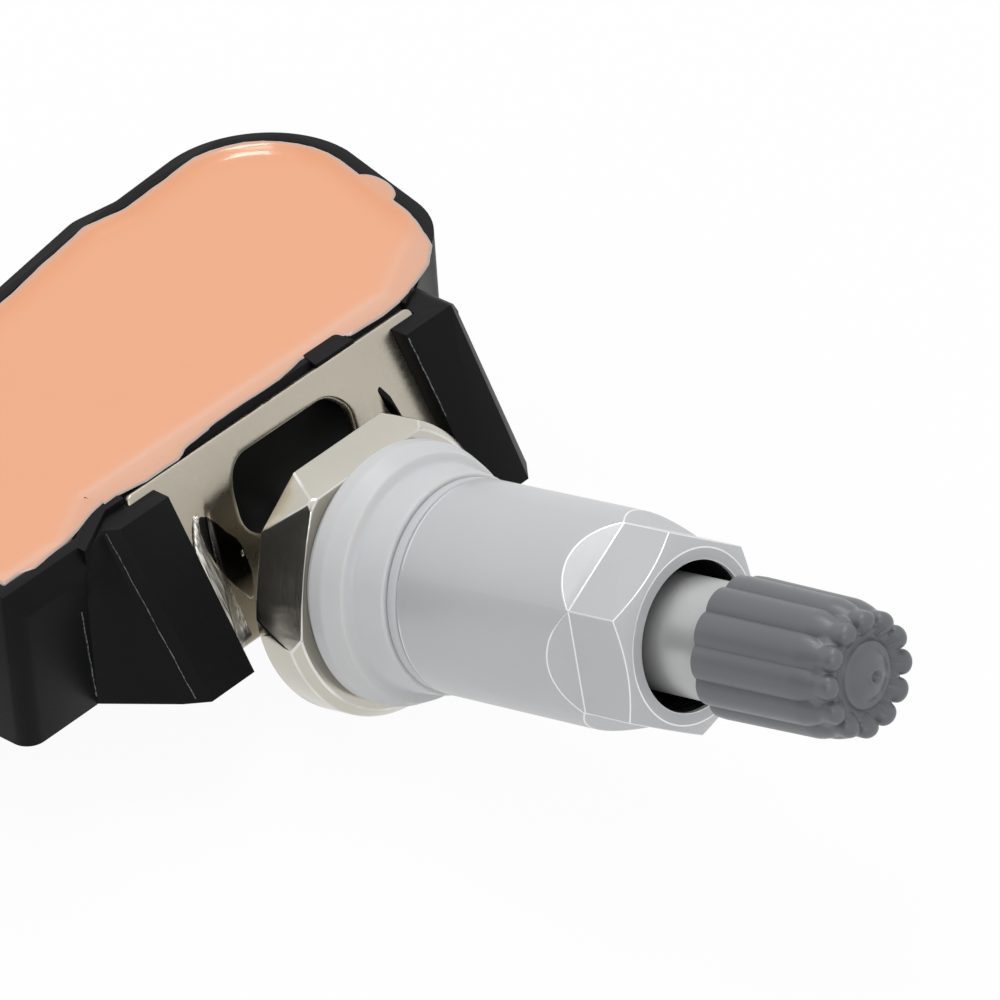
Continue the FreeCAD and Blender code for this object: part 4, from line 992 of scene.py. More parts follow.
@dataclass
class Potting:
    """The cast compound that fills the tub.

    Attributes:
        housing: The tub.
        skirt: Height of its lower end.
        gap: Clearance to the tub's walls.
        parts: Pieces of each straight side.
        front: How far forward its edge creeps over the rim, from left to right.
        slope: Distance from the edge and height of each ring of the climbing part.
        marks: Strength of the edge's pale film on each ring.
        smear: Middle, half length and reach of the smear on the rim at the right.
        creep: Least and greatest distance that the front edge is pushed.
        facing: Direction in Y from which on a wall counts as the front.
        waver: How much the edge wavers elsewhere.
    """

    housing: Housing
    skirt: float = -1.35
    gap: float = 0.05
    parts: int = 48
    front: tuple[Point, ...] = (
        (-28.2, 10.4), (-25.4, 10.5), (-24.2, 10.1), (-22.1, 10.35), (-19.2, 10.8), (-17.7, 11.3),
        (-14.9, 11.58), (-12.9, 11.2), (-12.2, 11.1), (-8.6, 11.1), (-8.2, 11.6), (-4.6, 12.0),
        (-2.4, 12.1), (2.2, 12.0), (4.9, 12.45), (8.9, 12.4), (9.3, 11.75), (12.2, 11.56), (13.9, 11.68),
        (15.5, 11.9), (17.3, 12.4), (18.6, 12.9), (20.8, 14.4), (22.2, 16.2), (25.0, 19.0),
    )
    slope: tuple[Point, ...] = ((0.7, 9.62), (1.0, 9.48), (1.4, 9.36), (1.9, 9.3), (2.6, 9.28))
    marks: tuple[float, ...] = (0.0, 0.0, 0.95, 0.85, 0.3, 0.12, 0.03, 0.0, 0.0, 0.0, 0.0)
    smear: Quad = (25.0, 23.0, 2.1, 1.0)
    creep: Point = (-0.3, 1.75)
    facing: float = -0.5
    waver: float = 0.1

    def line(self, x: float) -> Optional[float]:
        """Where the front edge lies.

        Args:
            x: Place along the front.

        Returns:
            How far forward it is, or nothing beyond its ends.
        """
        for (start, first), (stop, second) in zip(self.front, self.front[1:]):
            if start <= x < stop:
                return first + (second - first) * (x - start) / (stop - start)
        return None

    def edge(self, base: list[Vector], outward: float, height: float) -> list[Vector]:
        """Push a ring outwards by an uneven amount.

        Args:
            base: The ring.
            outward: Mean distance.
            height: Height of the new ring.

        Returns:
            The new ring.
        """
        count = len(base)
        points = []
        for index, point in enumerate(base):
            along = base[(index + 1) % count] - base[index - 1]
            out = Vector((along.y, -along.x, 0)).normalized()
            reach = outward + self.waver * ripple(point.x - 0.6 * point.y, 1.7)
            target = self.line(point.x)
            share = min(max((self.facing - out.y) / 0.3, 0.0), 1.0)
            if target is not None and share > 0:
                least, most = self.creep
                creep = min(max((target - point.y) * out.y, least), most) + 0.03 * ripple(5 * point.x, 0.6)
                reach += share * (outward + creep - reach)
            x, y, half, far = self.smear
            close = 1 - ((point.x - x) ** 2 + (point.y - y) ** 2) / half**2
            if out.x > 0.5 and close > 0:
                reach += far * close**0.6
            points.append(Vector((point.x, point.y, height)) + out * reach)
        return points

    def build(self) -> None:
        """Build the compound with its climbing edge."""
        opening, rim = self.housing.inner(), self.housing.rim
        base = opening.ring(parts=self.parts)
        low = [opening.even(self.gap).ring(height, parts=self.parts) for height in (self.skirt, rim - 0.6)]
        film = [self.edge(base, far, rim + up) for far, up in ((0.0, -0.03), (-0.1, 0.05), (-0.3, 0.04))]
        steps = ((0.45, rim + 0.01), *self.slope)
        top = [opening.even(inset).ring(height, parts=self.parts) for inset, height in steps]
        thing = loft("potting_cast", low + film + top, smooth=60.0, marks=self.marks)
        dress(thing, Finishes.potting, Body.SENSOR, "potting_fill")


@dataclass(frozen=True)
class PaintedReflection:
    """A painted reflection on the pressed sheet, built as a thin skin: the bright ones are painted
    highlights, the dark ones painted reflections of dark things.

    Attributes:
        name: Name of its piece.
        finish: Its finish.
        height: How proud it stands.
        width: Width of its rounded edge.
        fade: Where, down the plate, it starts and ends to change its colour.
        loop: Its outline as it is seen on the flat plate, across and down.
    """

    name: str
    finish: Finish
    height: float
    width: float
    fade: Point
    loop: tuple[Point, ...]


# Painted light on the pressed seat: the pale rolled bend and the glint are painted highlights, the hollow and
# the crease dark painted reflections.
PAINTED_REFLECTIONS = (
    PaintedReflection(
        "bracket_roll_highlight", Finishes.bracket_roll_highlight, 0.3, 0.6, (12.0, 12.8),
        (
            (-9.7, 3.95), (-10.02, 4.34), (-10.3, 5.07), (-10.38, 6.19), (-10.28, 7.32), (-10.08, 8.4),
            (-9.98, 9.24), (-10.07, 10.17), (-10.15, 11.3), (-10.28, 12.3), (-10.25, 13.1), (-11.7, 13.1),
            (-11.84, 12.15), (-11.89, 10.85), (-11.95, 9.35), (-11.96, 8.37), (-11.85, 7.13), (-11.45, 5.69),
            (-10.86, 4.57), (-10.35, 3.87), (-9.9, 3.62),
        ),
    ),
    PaintedReflection(
        "bracket_hollow", Finishes.bracket_shadow, 0.03, 0.1, (9.2, 10.8),
        (
            (-9.79, 3.97), (-9.17, 4.3), (-8.69, 5.04), (-8.26, 5.95), (-7.74, 6.72), (-7.59, 7.48),
            (-7.72, 8.09), (-7.76, 8.66), (-7.85, 9.29), (-8.27, 10.35), (-8.92, 11.17), (-9.31, 10.18),
            (-9.69, 9.39), (-10.08, 8.4), (-10.28, 7.32), (-10.36, 6.19), (-10.25, 5.0), (-10.04, 4.33),
        ),
    ),
    PaintedReflection(
        "bracket_glint", Finishes.bracket_glint, 0.08, 0.2, (20.0, 21.0),
        (
            (-8.14, 6.94), (-7.85, 7.29), (-7.73, 7.7), (-7.77, 8.07), (-7.94, 8.36), (-8.1, 8.09),
            (-8.11, 7.5),
        ),
    ),
    PaintedReflection(
        "bracket_crease", Finishes.bracket_shadow, 0.03, 0.1, (20.0, 21.0),
        (
            (8.77, 3.5), (9.13, 3.6), (9.58, 4.54), (9.71, 5.64), (9.85, 7.06), (9.5, 7.6),
            (9.01, 6.23), (8.8, 4.93),
        ),
    ),
)


@dataclass
class Bracket:
    """The pressed sheet-metal plate that carries the valve.

    Attributes:
        half_width: Half of the plate's width.
        drop: Length of the plate down its slope.
        sheet: Thickness of the metal.
        bend: Where the pressed seat starts, down the plate.
        seat: Half width of the pressed seat.
        seat_end: Where the seat ends.
        tongue: Half width and end of the tongue below the seat.
        press_angle: Angle between plate and seat.
        flank: How fast the pressing's sides rise.
        window: Left, top, right and bottom of the window.
        window_radius: Radius of its corners.
        reflections: The highlights and dark reflections painted on the pressing.
        drift: How the painted reflections shift across and down for each millimetre of depth.
        soft: Softness of the seat's bend and of its sides.
        edge: Inset and drop of each ring of the rounded edge.
        pitch: Distance of the mesh's points on the plate, beside the seat and in the marks.
    """

    half_width: float = 14.6
    drop: float = 13.4
    sheet: float = 0.9
    bend: float = 3.6
    seat: float = 9.0
    seat_end: float = 14.4
    tongue: Point = (5.8, 16.9)
    press_angle: float = 17.24
    flank: float = 0.9
    window: Quad = (-6.05, 1.95, 6.05, 8.0)
    window_radius: float = 2.4
    reflections: tuple[PaintedReflection, ...] = PAINTED_REFLECTIONS
    drift: Point = (0.772, 0.279)
    soft: Point = (0.2, 0.5)
    edge: tuple[Point, ...] = ((0.0, 0.16), (0.05, 0.05), (0.16, 0.0))
    pitch: Triple = (0.3, 0.14, 0.12)

    def settle(self, seen: Vector) -> Vector:
        """Find the place on the pressed sheet that is seen at a place of the flat plate.

        Args:
            seen: Place across and down the flat plate.

        Returns:
            Across, down and depth.
        """
        x, t = seen
        for _ in range(40):
            depth = self.depth(x, t)
            x += 0.6 * (seen.x + self.drift[0] * depth - x)
            t += 0.6 * (seen.y + self.drift[1] * depth - t)
        return Vector((x, t, self.depth(x, t)))

    def paint_reflection(self, mark: PaintedReflection) -> None:
        """Build one painted reflection as a thin skin on the sheet.

        Args:
            mark: The mark.
        """
        loop = [Vector(p) for p in soften(mark.loop, [0.3] * len(mark.loop), 5)]
        loop = [p for p, q in zip(loop, loop[1:] + loop[:1]) if (p - q).length > 0.02]
        low, high = (Vector((end(p.x for p in loop), end(p.y for p in loop))) for end in (min, max))
        pitch = self.pitch[2]
        spots = loop + [p for p in grid(low, high, pitch, 1) if edge_distance(p, loop) > pitch / 2]
        links = [(i, (i + 1) % len(loop)) for i in range(len(loop))]
        points, _, faces = geometry.delaunay_2d_cdt(spots, links, [], 1, 1e-6)[:3]
        shape = Shape()
        quarter = Matrix.Rotation(math.pi / 2, 4, "Z")
        start, stop = mark.fade
        tops, backs = [], []
        for number, point in enumerate(points):
            spot = self.settle(point)
            share = min(max(edge_distance(point, loop) / mark.width, 0.0), 1.0)
            lift = mark.height * math.sqrt(1 - (1 - share) ** 2) + 0.004
            tops.append(quarter.inverted() @ (spot - Vector((0, 0, lift))))
            backs.append(quarter.inverted() @ (spot + Vector((0, 0, 0.25))))
            shape.marks[number] = min(max((point.y - start) / (stop - start), 0.0), 1.0)
        shape.close(tops, backs, faces)
        thing = shape.build(mark.name, plate_place() @ quarter, 60.0)
        dress(thing, mark.finish, Body.SENSOR, slot="bracket_nickel")

    def depth(self, x: float, t: float) -> float:
        """How deep the metal is pressed at a place on the plate.

        Args:
            x: Place across the plate.
            t: Place down the plate.

        Returns:
            The depth in millimetres.
        """
        slope = (t - self.bend) * math.tan(math.radians(self.press_angle))
        bend, side = self.soft
        return rise(slope - rise((abs(x) - self.seat) / self.flank, side), bend)

    def outline(self) -> Outline:
        """Outline of the flat plate, anticlockwise as seen from the case."""
        wide, end, (slim, tip) = self.half_width, self.drop, self.tongue
        foot = self.seat + 0.5
        step = [(foot + 0.9, end), (foot, self.seat_end)]
        half = [(wide, 0.0), (wide, end), *step, (slim, self.seat_end), (slim, tip)]
        left = [(-x, t) for x, t in reversed(half)]
        radii = (0.6, 0.6, 0.5, 0.5, 0.8, 0.8)
        return Outline((*half, *left), (*radii, *reversed(radii)))

    def opening(self) -> Outline:
        """Outline of the window."""
        left, top, right, bottom = self.window
        corners = ((left, top), (right, top), (right, bottom), (left, bottom))
        return Outline(corners, (self.window_radius,) * 4)

    def build(self) -> None:
        """Build the plate as a triangulated sheet with rounded edges, and the reflections painted on it."""
        plate, opening = self.outline(), self.opening()
        spots: list[Vector] = []
        falls: list[float] = []
        links: list[tuple[int, int]] = []
        for inset, fall in self.edge:
            for loop in (plate.even(inset).loop(5, 30), opening.even(-inset).loop(10, 24)):
                start, count = len(spots), len(loop)
                spots += loop
                falls += [fall] * count
                links += [(start + i, start + (i + 1) % count) for i in range(count)]
        inner, hole = plate.even(0.3).loop(5, 8), opening.even(-0.3).loop(6, 8)
        seat, bend, end = self.seat, self.bend - 0.4, self.seat_end
        coarse, fine, _ = self.pitch
        for pitch, low, high in (
            (coarse, (-self.half_width, 0.0), (self.half_width, self.tongue[1])),
            (fine, (-seat - 2.2, bend), (-seat + 2.6, end - 2.0)),
            (fine, (seat - 0.8, bend), (seat + 2.2, end - 4.0)),
        ):
            spots += [p for p in grid(low, high, pitch) if inside(p, inner) and not inside(p, hole)]
        falls += [0.0] * (len(spots) - len(falls))
        points, _, faces, origins = geometry.delaunay_2d_cdt(spots, links, [], 0, 1e-6)[:4]
        tops, backs = [], []
        for point, ids in zip(points, origins):
            fall = falls[ids[0]] if ids else 0.0
            depth = self.depth(*point)
            tops.append(Vector((*point, depth + fall)))
            backs.append(Vector((*point, depth + self.sheet - fall)))
        rim, gap = plate.loop(5, 30), opening.loop(10, 24)
        middles = [sum((points[i] for i in face), Vector((0.0, 0.0))) / len(face) for face in faces]
        kept = [f for f, middle in zip(faces, middles) if inside(middle, rim) and not inside(middle, gap)]
        shape = Shape()
        shape.close(tops, backs, kept)
        thing = shape.build("bracket_sheet", plate_place(), 50.0)
        dress(thing, Finishes.bracket_nickel, Body.SENSOR, "bracket_plate")
        for mark in self.reflections:
            self.paint_reflection(mark)


def grid(low: Sequence[float], high: Sequence[float], pitch: float, more: int = 0) -> list[Vector]:
    """Spread spots evenly between two corners.

    Args:
        low: Lower corner.
        high: Upper corner.
        pitch: Distance from spot to spot.
        more: Extra rows and columns at the end.

    Returns:
        The spots.
    """
    rows, columns = (range(1, int((high[i] - low[i]) / pitch) + more) for i in (0, 1))
    return [Vector((low[0] + i * pitch, low[1] + j * pitch)) for i in rows for j in columns]


def inside(spot: Vector, loop: Sequence[Vector]) -> bool:
    """Whether a spot lies inside a closed loop.

    Args:
        spot: The spot.
        loop: The loop's points.

    Returns:
        True inside.
    """
    odd = False
    for a, b in zip(loop, list(loop[1:]) + [loop[0]]):
        if (a.y > spot.y) != (b.y > spot.y):
            if spot.x < a.x + (spot.y - a.y) * (b.x - a.x) / (b.y - a.y):
                odd = not odd
    return odd


def edge_distance(spot: Vector, loop: Sequence[Vector]) -> float:
    """Distance of a spot from the edge of a closed loop.

    Args:
        spot: The spot.
        loop: The loop's points.

    Returns:
        The distance, positive inside and negative outside.
    """
    least = 1e9
    for a, b in zip(loop, list(loop[1:]) + [loop[0]]):
        side = b - a
        share = min(max((spot - a).dot(side) / side.length_squared, 0.0), 1.0)
        least = min(least, (a + side * share - spot).length)
    return least if inside(spot, loop) else -least


@dataclass(frozen=True)
class Flat:
    """A flat that is milled on the flange.

    Attributes:
        angle: Direction it faces round the stem, in degrees.
        front: Distance from the axis at the front face.
        back: Distance from the axis at the back face.
        bulge: How far its middle stands out from its ends.
        chord: Half of its length.
    """

    angle: float
    front: float
    back: float
    bulge: float = 0.0
    chord: float = 4.0

    def tool(self, thick: float, reach: float) -> Thing:
        """Build what the flat takes off the flange.

        Args:
            thick: Thickness of the flange.
            reach: How far the tool reaches from the axis.

        Returns:
            The tool, in the stem's place.
        """
        over, half = 0.4, 6
        slope = (self.back - self.front) / thick
        cuts = []
        for step in range(2 * half + 1):
            side = reach * (step / half - 1)
            out = self.bulge * (0.5 - min(abs(side / self.chord), 1.6) ** 2)
            near = (self.front - slope * over + out, over)
            far = (self.back + slope * over + out, -thick - over)
            cuts.append((side, (near, far, (reach, -thick - over), (reach, over))))
        return flat_tool(self.angle, cuts)


@dataclass
class ValveStem:
    """The nickel-plated valve body: flange, seat and stem.

    Attributes:
        rim: Radius of the flange at its back.
        face: Radius of the flange's front face.
        thick: Thickness of the flange.
        bevel: Length of the bevel at the front.
        neck: Radius of the neck behind the flange.
        neck_end: Where the neck ends.
        screw_hole: Radius and depth of the hole for the fixing screw.
        seat: Radius and end of the seat for the seal.
        stem: Radius and end of the stem.
        bore: Radius and start of the air bore.
        core_bore: Radius and start of the wider bore of the valve core.
        edge: Rounding of the flange's edges.
        flats: The flats on the flange.
    """

    rim: float = 10.45
    face: float = 9.85
    thick: float = 3.5
    bevel: float = 0.8
    neck: float = 4.4
    neck_end: float = -7.43
    screw_hole: Point = (1.5, 2.0)
    seat: Point = (5.0, 5.8)
    stem: Point = (4.1, 40.1)
    bore: Point = (1.3, -5.0)
    core_bore: Point = (2.1, 31.2)
    edge: float = 0.11
    flats: tuple[Flat, ...] = (
        Flat(90.0, 8.35, 9.1), Flat(121.0, 10.14, 9.76), Flat(155.0, 8.95, 10.0, 0.2),
    )

    def flange(self) -> None:
        """Build the turned flange, mill its flats and round its edges, which are painted bright as
        highlights.
        """
        core = self.neck - 0.1
        rows = [
            (core, -self.thick), (self.rim, -self.thick), (self.rim, -self.bevel),
            (self.face, 0.0), (core, 0.0),
        ]
        thing = lathe("valve_flange", rows, 240)
        carve(thing, [flat.tool(self.thick, self.rim + 3.0) for flat in self.flats])
        round_edges(thing, self.edge, 12.0, (Finishes.stem_nickel, Finishes.stem_edge_highlight), clamp=False)
        dress(thing, Finishes.stem_nickel, Body.SENSOR, "valve_stem")

    def middle(self) -> None:
        """Build the neck with its screw hole, and the seat in front of the flange."""
        seat, seat_end = self.seat
        hole, depth = self.screw_hole
        bore, bore_start = self.bore
        start = self.neck_end
        rows = [
            (0.0, start + depth), (hole, start + depth), (hole, start), (self.neck - 0.3, start),
            (self.neck, start + 0.3), (self.neck, -0.02), (seat, -0.02), (seat, seat_end),
            (bore, seat_end), (bore, bore_start), (0.0, bore_start),
        ]
        thing = lathe("valve_neck", rows, closed=False)
        dress(thing, Finishes.stem_nickel, Body.SENSOR, "valve_stem")

    def tube(self) -> None:
        """Build the turned tube with its bores."""
        radius, end = self.stem
        core, core_start = self.core_bore
        bore, start = self.bore[0], self.seat[1] + 0.02
        rows = [
            (bore, start), (radius, start), (radius, end - 0.5), (radius - 0.1, end - 0.2),
            (radius - 0.5, end), (core, end), (core, core_start), (bore, core_start - 0.8),
        ]
        dress(lathe("valve_tube", rows), Finishes.stem_tube, Body.SENSOR, "valve_stem", slot="stem_nickel")

    def build(self) -> None:
        """Build the flange, the neck and the tube."""
        self.flange()
        self.middle()
        self.tube()


@dataclass
class Seal:
    """The soft seal between flange and wheel.

    Attributes:
        profile: Radius, height and corner radius of each corner of its section.
    """

    profile: tuple[Triple, ...] = (
        (5.02, 0.02, 0.0), (8.7, 0.02, 0.1), (9.28, 0.75, 0.4), (9.3, 1.9, 0.9),
        (8.75, 3.35, 0.35), (8.05, 3.65, 0.55), (7.75, 6.3, 0.25), (5.02, 6.3, 0.0),
    )

    def build(self) -> None:
        """Build the turned seal."""
        line = soften([row[:2] for row in self.profile], [row[2] for row in self.profile], 8)
        thing = lathe("seal_ring", line, smooth=60.0)
        dress(thing, Finishes.seal_silicone, Body.SENSOR, "valve_seal")


@dataclass
class Washer:
    """The plain washer that the nut presses on the seal."""

    bore: float = 5.15
    radius: float = 7.5
    back: float = 6.34
    front: float = 7.19

    def build(self) -> None:
        """Build the turned washer."""
        back = [(self.bore, self.back), (self.radius, self.back)]
        corners = [*back, (self.radius, self.front), (self.bore, self.front)]
        thing = lathe("washer_ring", soften(corners, (0.1, 0.25, 0.25, 0.1), 5), smooth=50.0)
        dress(thing, Finishes.washer_plastic, Body.NUT_SLIDE, "nut_washer")


@dataclass
class CollarNut:
    """The long sleeve nut with six flats at its front.

    Attributes:
        back: Where the sleeve starts.
        front: Where it ends.
        radius: Radius of the sleeve.
        flat: Distance of each flat from the axis.
        flat_length: Length of the flats.
        run_out: Length of the slanted ends of the flats.
        face: Radius of the front face.
        chamfer: Angle of the chamfer round the front face, in degrees.
        bore: Radius of the wide bore.
        thread: Radius and front end of the threaded hole.
        turn: Turn of the flats in degrees.
        pitch: Pitch of its thread.
        edge: Rounding of the edges.
        heel: Rounding of the sleeve's back edge.
        thread_depths: Crest, root and back of the thread in the wide bore, which is painted black as shade,
            measured from the bore.
    """

    back: float = 7.23
    front: float = 27.9
    radius: float = 7.55
    flat: float = 6.5
    flat_length: float = 4.85
    run_out: float = 1.75
    face: float = 6.05
    chamfer: float = 30.0
    bore: float = 5.2
    thread: Point = (4.15, 14.3)
    turn: float = 54.7
    pitch: float = 0.794
    edge: float = 0.08
    heel: float = 0.3
    thread_depths: Triple = (-0.15, -0.03, 0.05)

    def tool(self, number: int) -> Thing:
        """Build what one flat takes off the sleeve.

        Args:
            number: Which flat.

        Returns:
            The tool, in the stem's place.
        """
        over = 1.0
        start = self.front - self.flat_length
        slope = self.run_out / (self.radius - self.flat)
        reach = self.radius + over
        section = (
            (self.flat, start), (reach, start - (reach - self.flat) * slope),
            (reach, self.front + over), (self.flat, self.front + over),
        )
        return flat_tool(self.turn + 60.0 * number, ((-reach, section), (reach, section)))

    def sleeve(self) -> None:
        """Build the sleeve, mill its flats and round its edges, which are painted bright as highlights."""
        back, front, radius, bore = self.back, self.front, self.radius, self.bore
        hole, hole_end = self.thread
        slant = (radius - self.face) * math.tan(math.radians(self.chamfer))
        heel, cut = self.heel, 0.3 * self.heel
        rows = [
            (hole, back), (radius - heel, back), (radius - cut, back + cut), (radius, back + heel),
            (radius, front - slant), (self.face, front), (bore, front), (bore, hole_end), (hole, hole_end),
        ]
        thing = lathe("nut_sleeve", rows, 240, 26.0)
        carve(thing, [self.tool(number) for number in range(6)])
        round_edges(thing, self.edge, 16.0, (Finishes.nut_coat, Finishes.nut_edge_highlight))
        dress(thing, Finishes.nut_coat, Body.NUT, "collar_nut")

    def bore_shade(self) -> None:
        """Build the thread in the wide bore, painted black as the shade inside it."""
        start, stop = self.thread[1] + 0.05, self.front - 0.35
        turns = int((stop - start) / self.pitch)
        crest, root, back = (self.bore + depth for depth in self.thread_depths)
        rows = [(back, stop), (back, start)]
        for turn in range(turns + 1):
            height = start + (stop - start) * turn / turns
            rows += [(root, height), (crest, height + 0.5 * self.pitch)]
        dress(lathe("nut_bore_shade", rows[:-1], 120, 20.0), Finishes.bore_painted_shade, Body.NUT, slot="nut_coat")

    def build(self) -> None:
        """Build the sleeve and the painted shade in its bore."""
        self.sleeve()
        self.bore_shade()


@dataclass
class Cap:
    """The ribbed dust cap, whose ribs run over its shoulder and end as round beads.

    Attributes:
        back: Where it starts.
        mouth: Radius of its opening.
        bore_end: Where its bore ends.
        lip: Width of the chamfer round its opening.
        core: How far behind the face the front's lines leave the axis.
        reach: Distance along a line where the search for the skin starts.
        ribs: Number of ribs.
        rib: Radius of a rib's round section and of its bead.
        crest: Radius of the ribs' crests at the back, and how much they lose to the front.
        roll: Where the ribs start to roll over the shoulder, over which length, and how far in.
        rib_width: Share of the sideways distance that counts, below 1 for broad ribs.
        bead: Where the ribs' beads are centred.
        waist: Place, half length and depth of the waist behind the bead.
        body: Radius of the wall between the ribs at the back and at the front.
        face: Where the wall ends.
        shoulder: Rounding of the wall's front edge.
        blend: Softness of the joints.
        groove: Radius, depth place and section radius of the ring groove.
        dome: Top and radius of curvature of the middle dome.
        pip: Radius, depth and section radius of the raised ring round the pit.
        pit: Radius of the pit in its middle.
        turn: Turn of the ribs in degrees.
    """

    back: float = 31.9
    mouth: float = 4.25
    bore_end: float = 41.4
    lip: float = 0.16
    core: float = 3.4
    reach: float = 6.5
    ribs: int = 12
    rib: Point = (1.15, 0.69)
    crest: Point = (4.95, 0.2)
    roll: Triple = (40.4, 2.4, 0.42)
    rib_width: float = 0.8
    bead: float = 42.98
    waist: Triple = (42.2, 0.34, 0.07)
    body: Point = (4.5, 4.1)
    face: float = 43.2
    shoulder: float = 1.4
    blend: float = 0.12
    groove: Triple = (2.68, 0.12, 0.42)
    dome: Point = (43.88, 3.0)
    pip: Triple = (0.52, 0.06, 0.13)
    pit: float = 0.36
    turn: float = 15.0

    def join(self, first: float, second: float) -> float:
        """Smooth union of two distances."""
        share = min(max(0.5 + 0.5 * (second - first) / self.blend, 0.0), 1.0)
        return second + (first - second) * share - self.blend * share * (1 - share)

    def gap(self, radius: float, off: float, height: float) -> float:
        """Distance from the cap's skin.

        Args:
            radius: Distance from the axis.
            off: Angle from the nearest rib's middle.
            height: Where along the stem.

        Returns:
            The distance, negative inside.
        """
        share = min(max((height - self.back) / (self.face - self.back), 0.0), 1.0)
        start, length, far = self.roll
        turn = min(max((height - start) / length, 0.0), 1.0)
        turn = turn * turn * (3 - 2 * turn)
        place, half, deep = self.waist
        section = self.rib[0] + (self.rib[1] - self.rib[0]) * turn
        circle = self.crest[0] - self.crest[1] * share - far * turn - section
        section -= deep * math.exp(-(((height - place) / half) ** 2))
        body = self.body[0] + (self.body[1] - self.body[0]) * share
        x, y = radius * math.cos(off), radius * math.sin(off) * self.rib_width
        rib = math.sqrt((x - circle) ** 2 + y * y + max(height - self.bead, 0.0) ** 2) - section
        across, up = radius - (body - self.shoulder), height - (self.face - self.shoulder)
        wall = min(max(across, up), 0.0) + math.hypot(max(across, 0.0), max(up, 0.0)) - self.shoulder
        skin = self.join(rib, wall)
        ring, deep, width = self.groove
        skin = max(skin, width - math.hypot(radius - ring, height - self.face - deep))
        top, curve = self.dome
        if radius < ring:
            skin = self.join(skin, math.hypot(radius, height - top + curve) - curve)
            pip, deep, width = self.pip
            skin = min(skin, math.hypot(radius - pip, height - top + deep) - width)
        return max(skin, self.pit - math.hypot(radius, height - top - 0.05))

    def skin(self, start: float, lean: float, off: float) -> float:
        """Find the skin along a line that leaves the axis.

        Args:
            start: Where on the axis the line starts.
            lean: Its angle above the level plane.
            off: Angle from the nearest rib's middle.

        Returns:
            How far along the line the skin lies.
        """
        across, up = math.cos(lean), math.sin(lean)
        far = self.reach
        for _ in range(60):
            gap = self.gap(far * across, off, start + far * up)
            if gap < 0.002:
                break
            far -= 0.7 * gap
        return far

    def ring(self, start: float, lean: float, inset: float = 0.0) -> list[Vector]:
        """Points of the skin round the axis.

        Args:
            start: Where on the axis the lines start.
            lean: Their angle above the level plane.
            inset: How much the ring is drawn in.

        Returns:
            The points.
        """
        step = 30
        angles = [math.pi / self.ribs * (2 * k / step - 1) for k in range(step // 2 + 1)]
        found = [self.skin(start, lean, angle) for angle in angles]
        points = []
        for index in range(step * self.ribs):
            place = index % step
            far = found[min(place, step - place)] - inset
            angle = math.radians(self.turn) + 2 * math.pi * (index / step - 0.5) / self.ribs
            reach = far * math.cos(lean)
            spot = (reach * math.cos(angle), reach * math.sin(angle), start + far * math.sin(lean))
            points.append(Vector(spot))
        return points

    def build(self) -> None:
        """Build the cap from its skin and its bore."""
        mouth, back, lip = self.mouth, self.back, self.lip
        centre = self.face - self.core
        foot = [p.to_2d() for p in self.ring(back, 0.0)]
        rings = [
            [Vector((mouth * p.x / p.length, mouth * p.y / p.length, height)) for p in foot]
            for height in (self.bore_end, back)
        ]
        rings.append(self.ring(back, 0.0, lip))
        edge, walls, turns = 0.05, 14, 110
        rings.append([p + Vector((0, 0, edge)) for p in self.ring(back, 0.0, edge)])
        rings += [self.ring(back + lip + (centre - back - lip) * k / walls, 0.0) for k in range(1, walls + 1)]
        rings += [self.ring(centre, math.pi / 2 * k / turns) for k in range(1, turns)]
        dress(loft("cap_ribbed", rings, stem_place(), 50.0), Finishes.cap_plastic, Body.CAP, "valve_cap")


@dataclass
class Inside:
    """The pieces that keep their construction shape and get a finish.

    Attributes:
        groups: Each finish and the nodes that get it.
    """

    groups: tuple[tuple[Finish, str], ...] = (
        (Finishes.board_laminate, "circuit_board"),
        (Finishes.cell_steel, "battery_cell crystal_resonator"),
        (Finishes.contact_metal, "battery_tab_top battery_tab_bottom"),
        (Finishes.chip_package, "pressure_chip controller_chip"),
        (Finishes.capacitor_body, "capacitor_row"),
        (Finishes.coil_ferrite, "antenna_coil"),
        (Finishes.seal_rubber, "port_seal cap_gasket"),
        (Finishes.filter_cloth, "pressure_port_filter"),
        (Finishes.screw_steel, "bracket_screw screw_washer core_spring"),
        (Finishes.core_brass, "core_body core_pin"),
        (Finishes.core_rubber, "core_seal_ring core_cup_seal"),
    )

    def build(self) -> None:
        """Dress each carried-over solid."""
        for finish, nodes in self.groups:
            for node in nodes.split():
                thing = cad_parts[node]
                thing.data.materials.clear()
                thing.data.materials.append(finish.build())
                LOG.info("%s keeps its construction shape", node)


@dataclass
class Lamp:
    """A soft rectangular lamp.

    Attributes:
        name: Its name.
        place: Where it stands, in metres.
        size: Length of its side in metres.
        power: Its power in watts.
    """

    name: str
    place: Triple
    size: float
    power: float

    def build(self) -> None:
        """Hang the lamp so that it faces the part."""
        light = bpy.data.lights.new(self.name, "AREA")
        light.shape = "SQUARE"
        light.size = self.size
        light.energy = self.power
        thing = add_object(self.name, light)
        thing.location = self.place
        away = Vector(self.place) - Vector((0.0, 0.008, 0.0))
        thing.rotation_euler = away.to_track_quat("Z", "Y").to_euler()


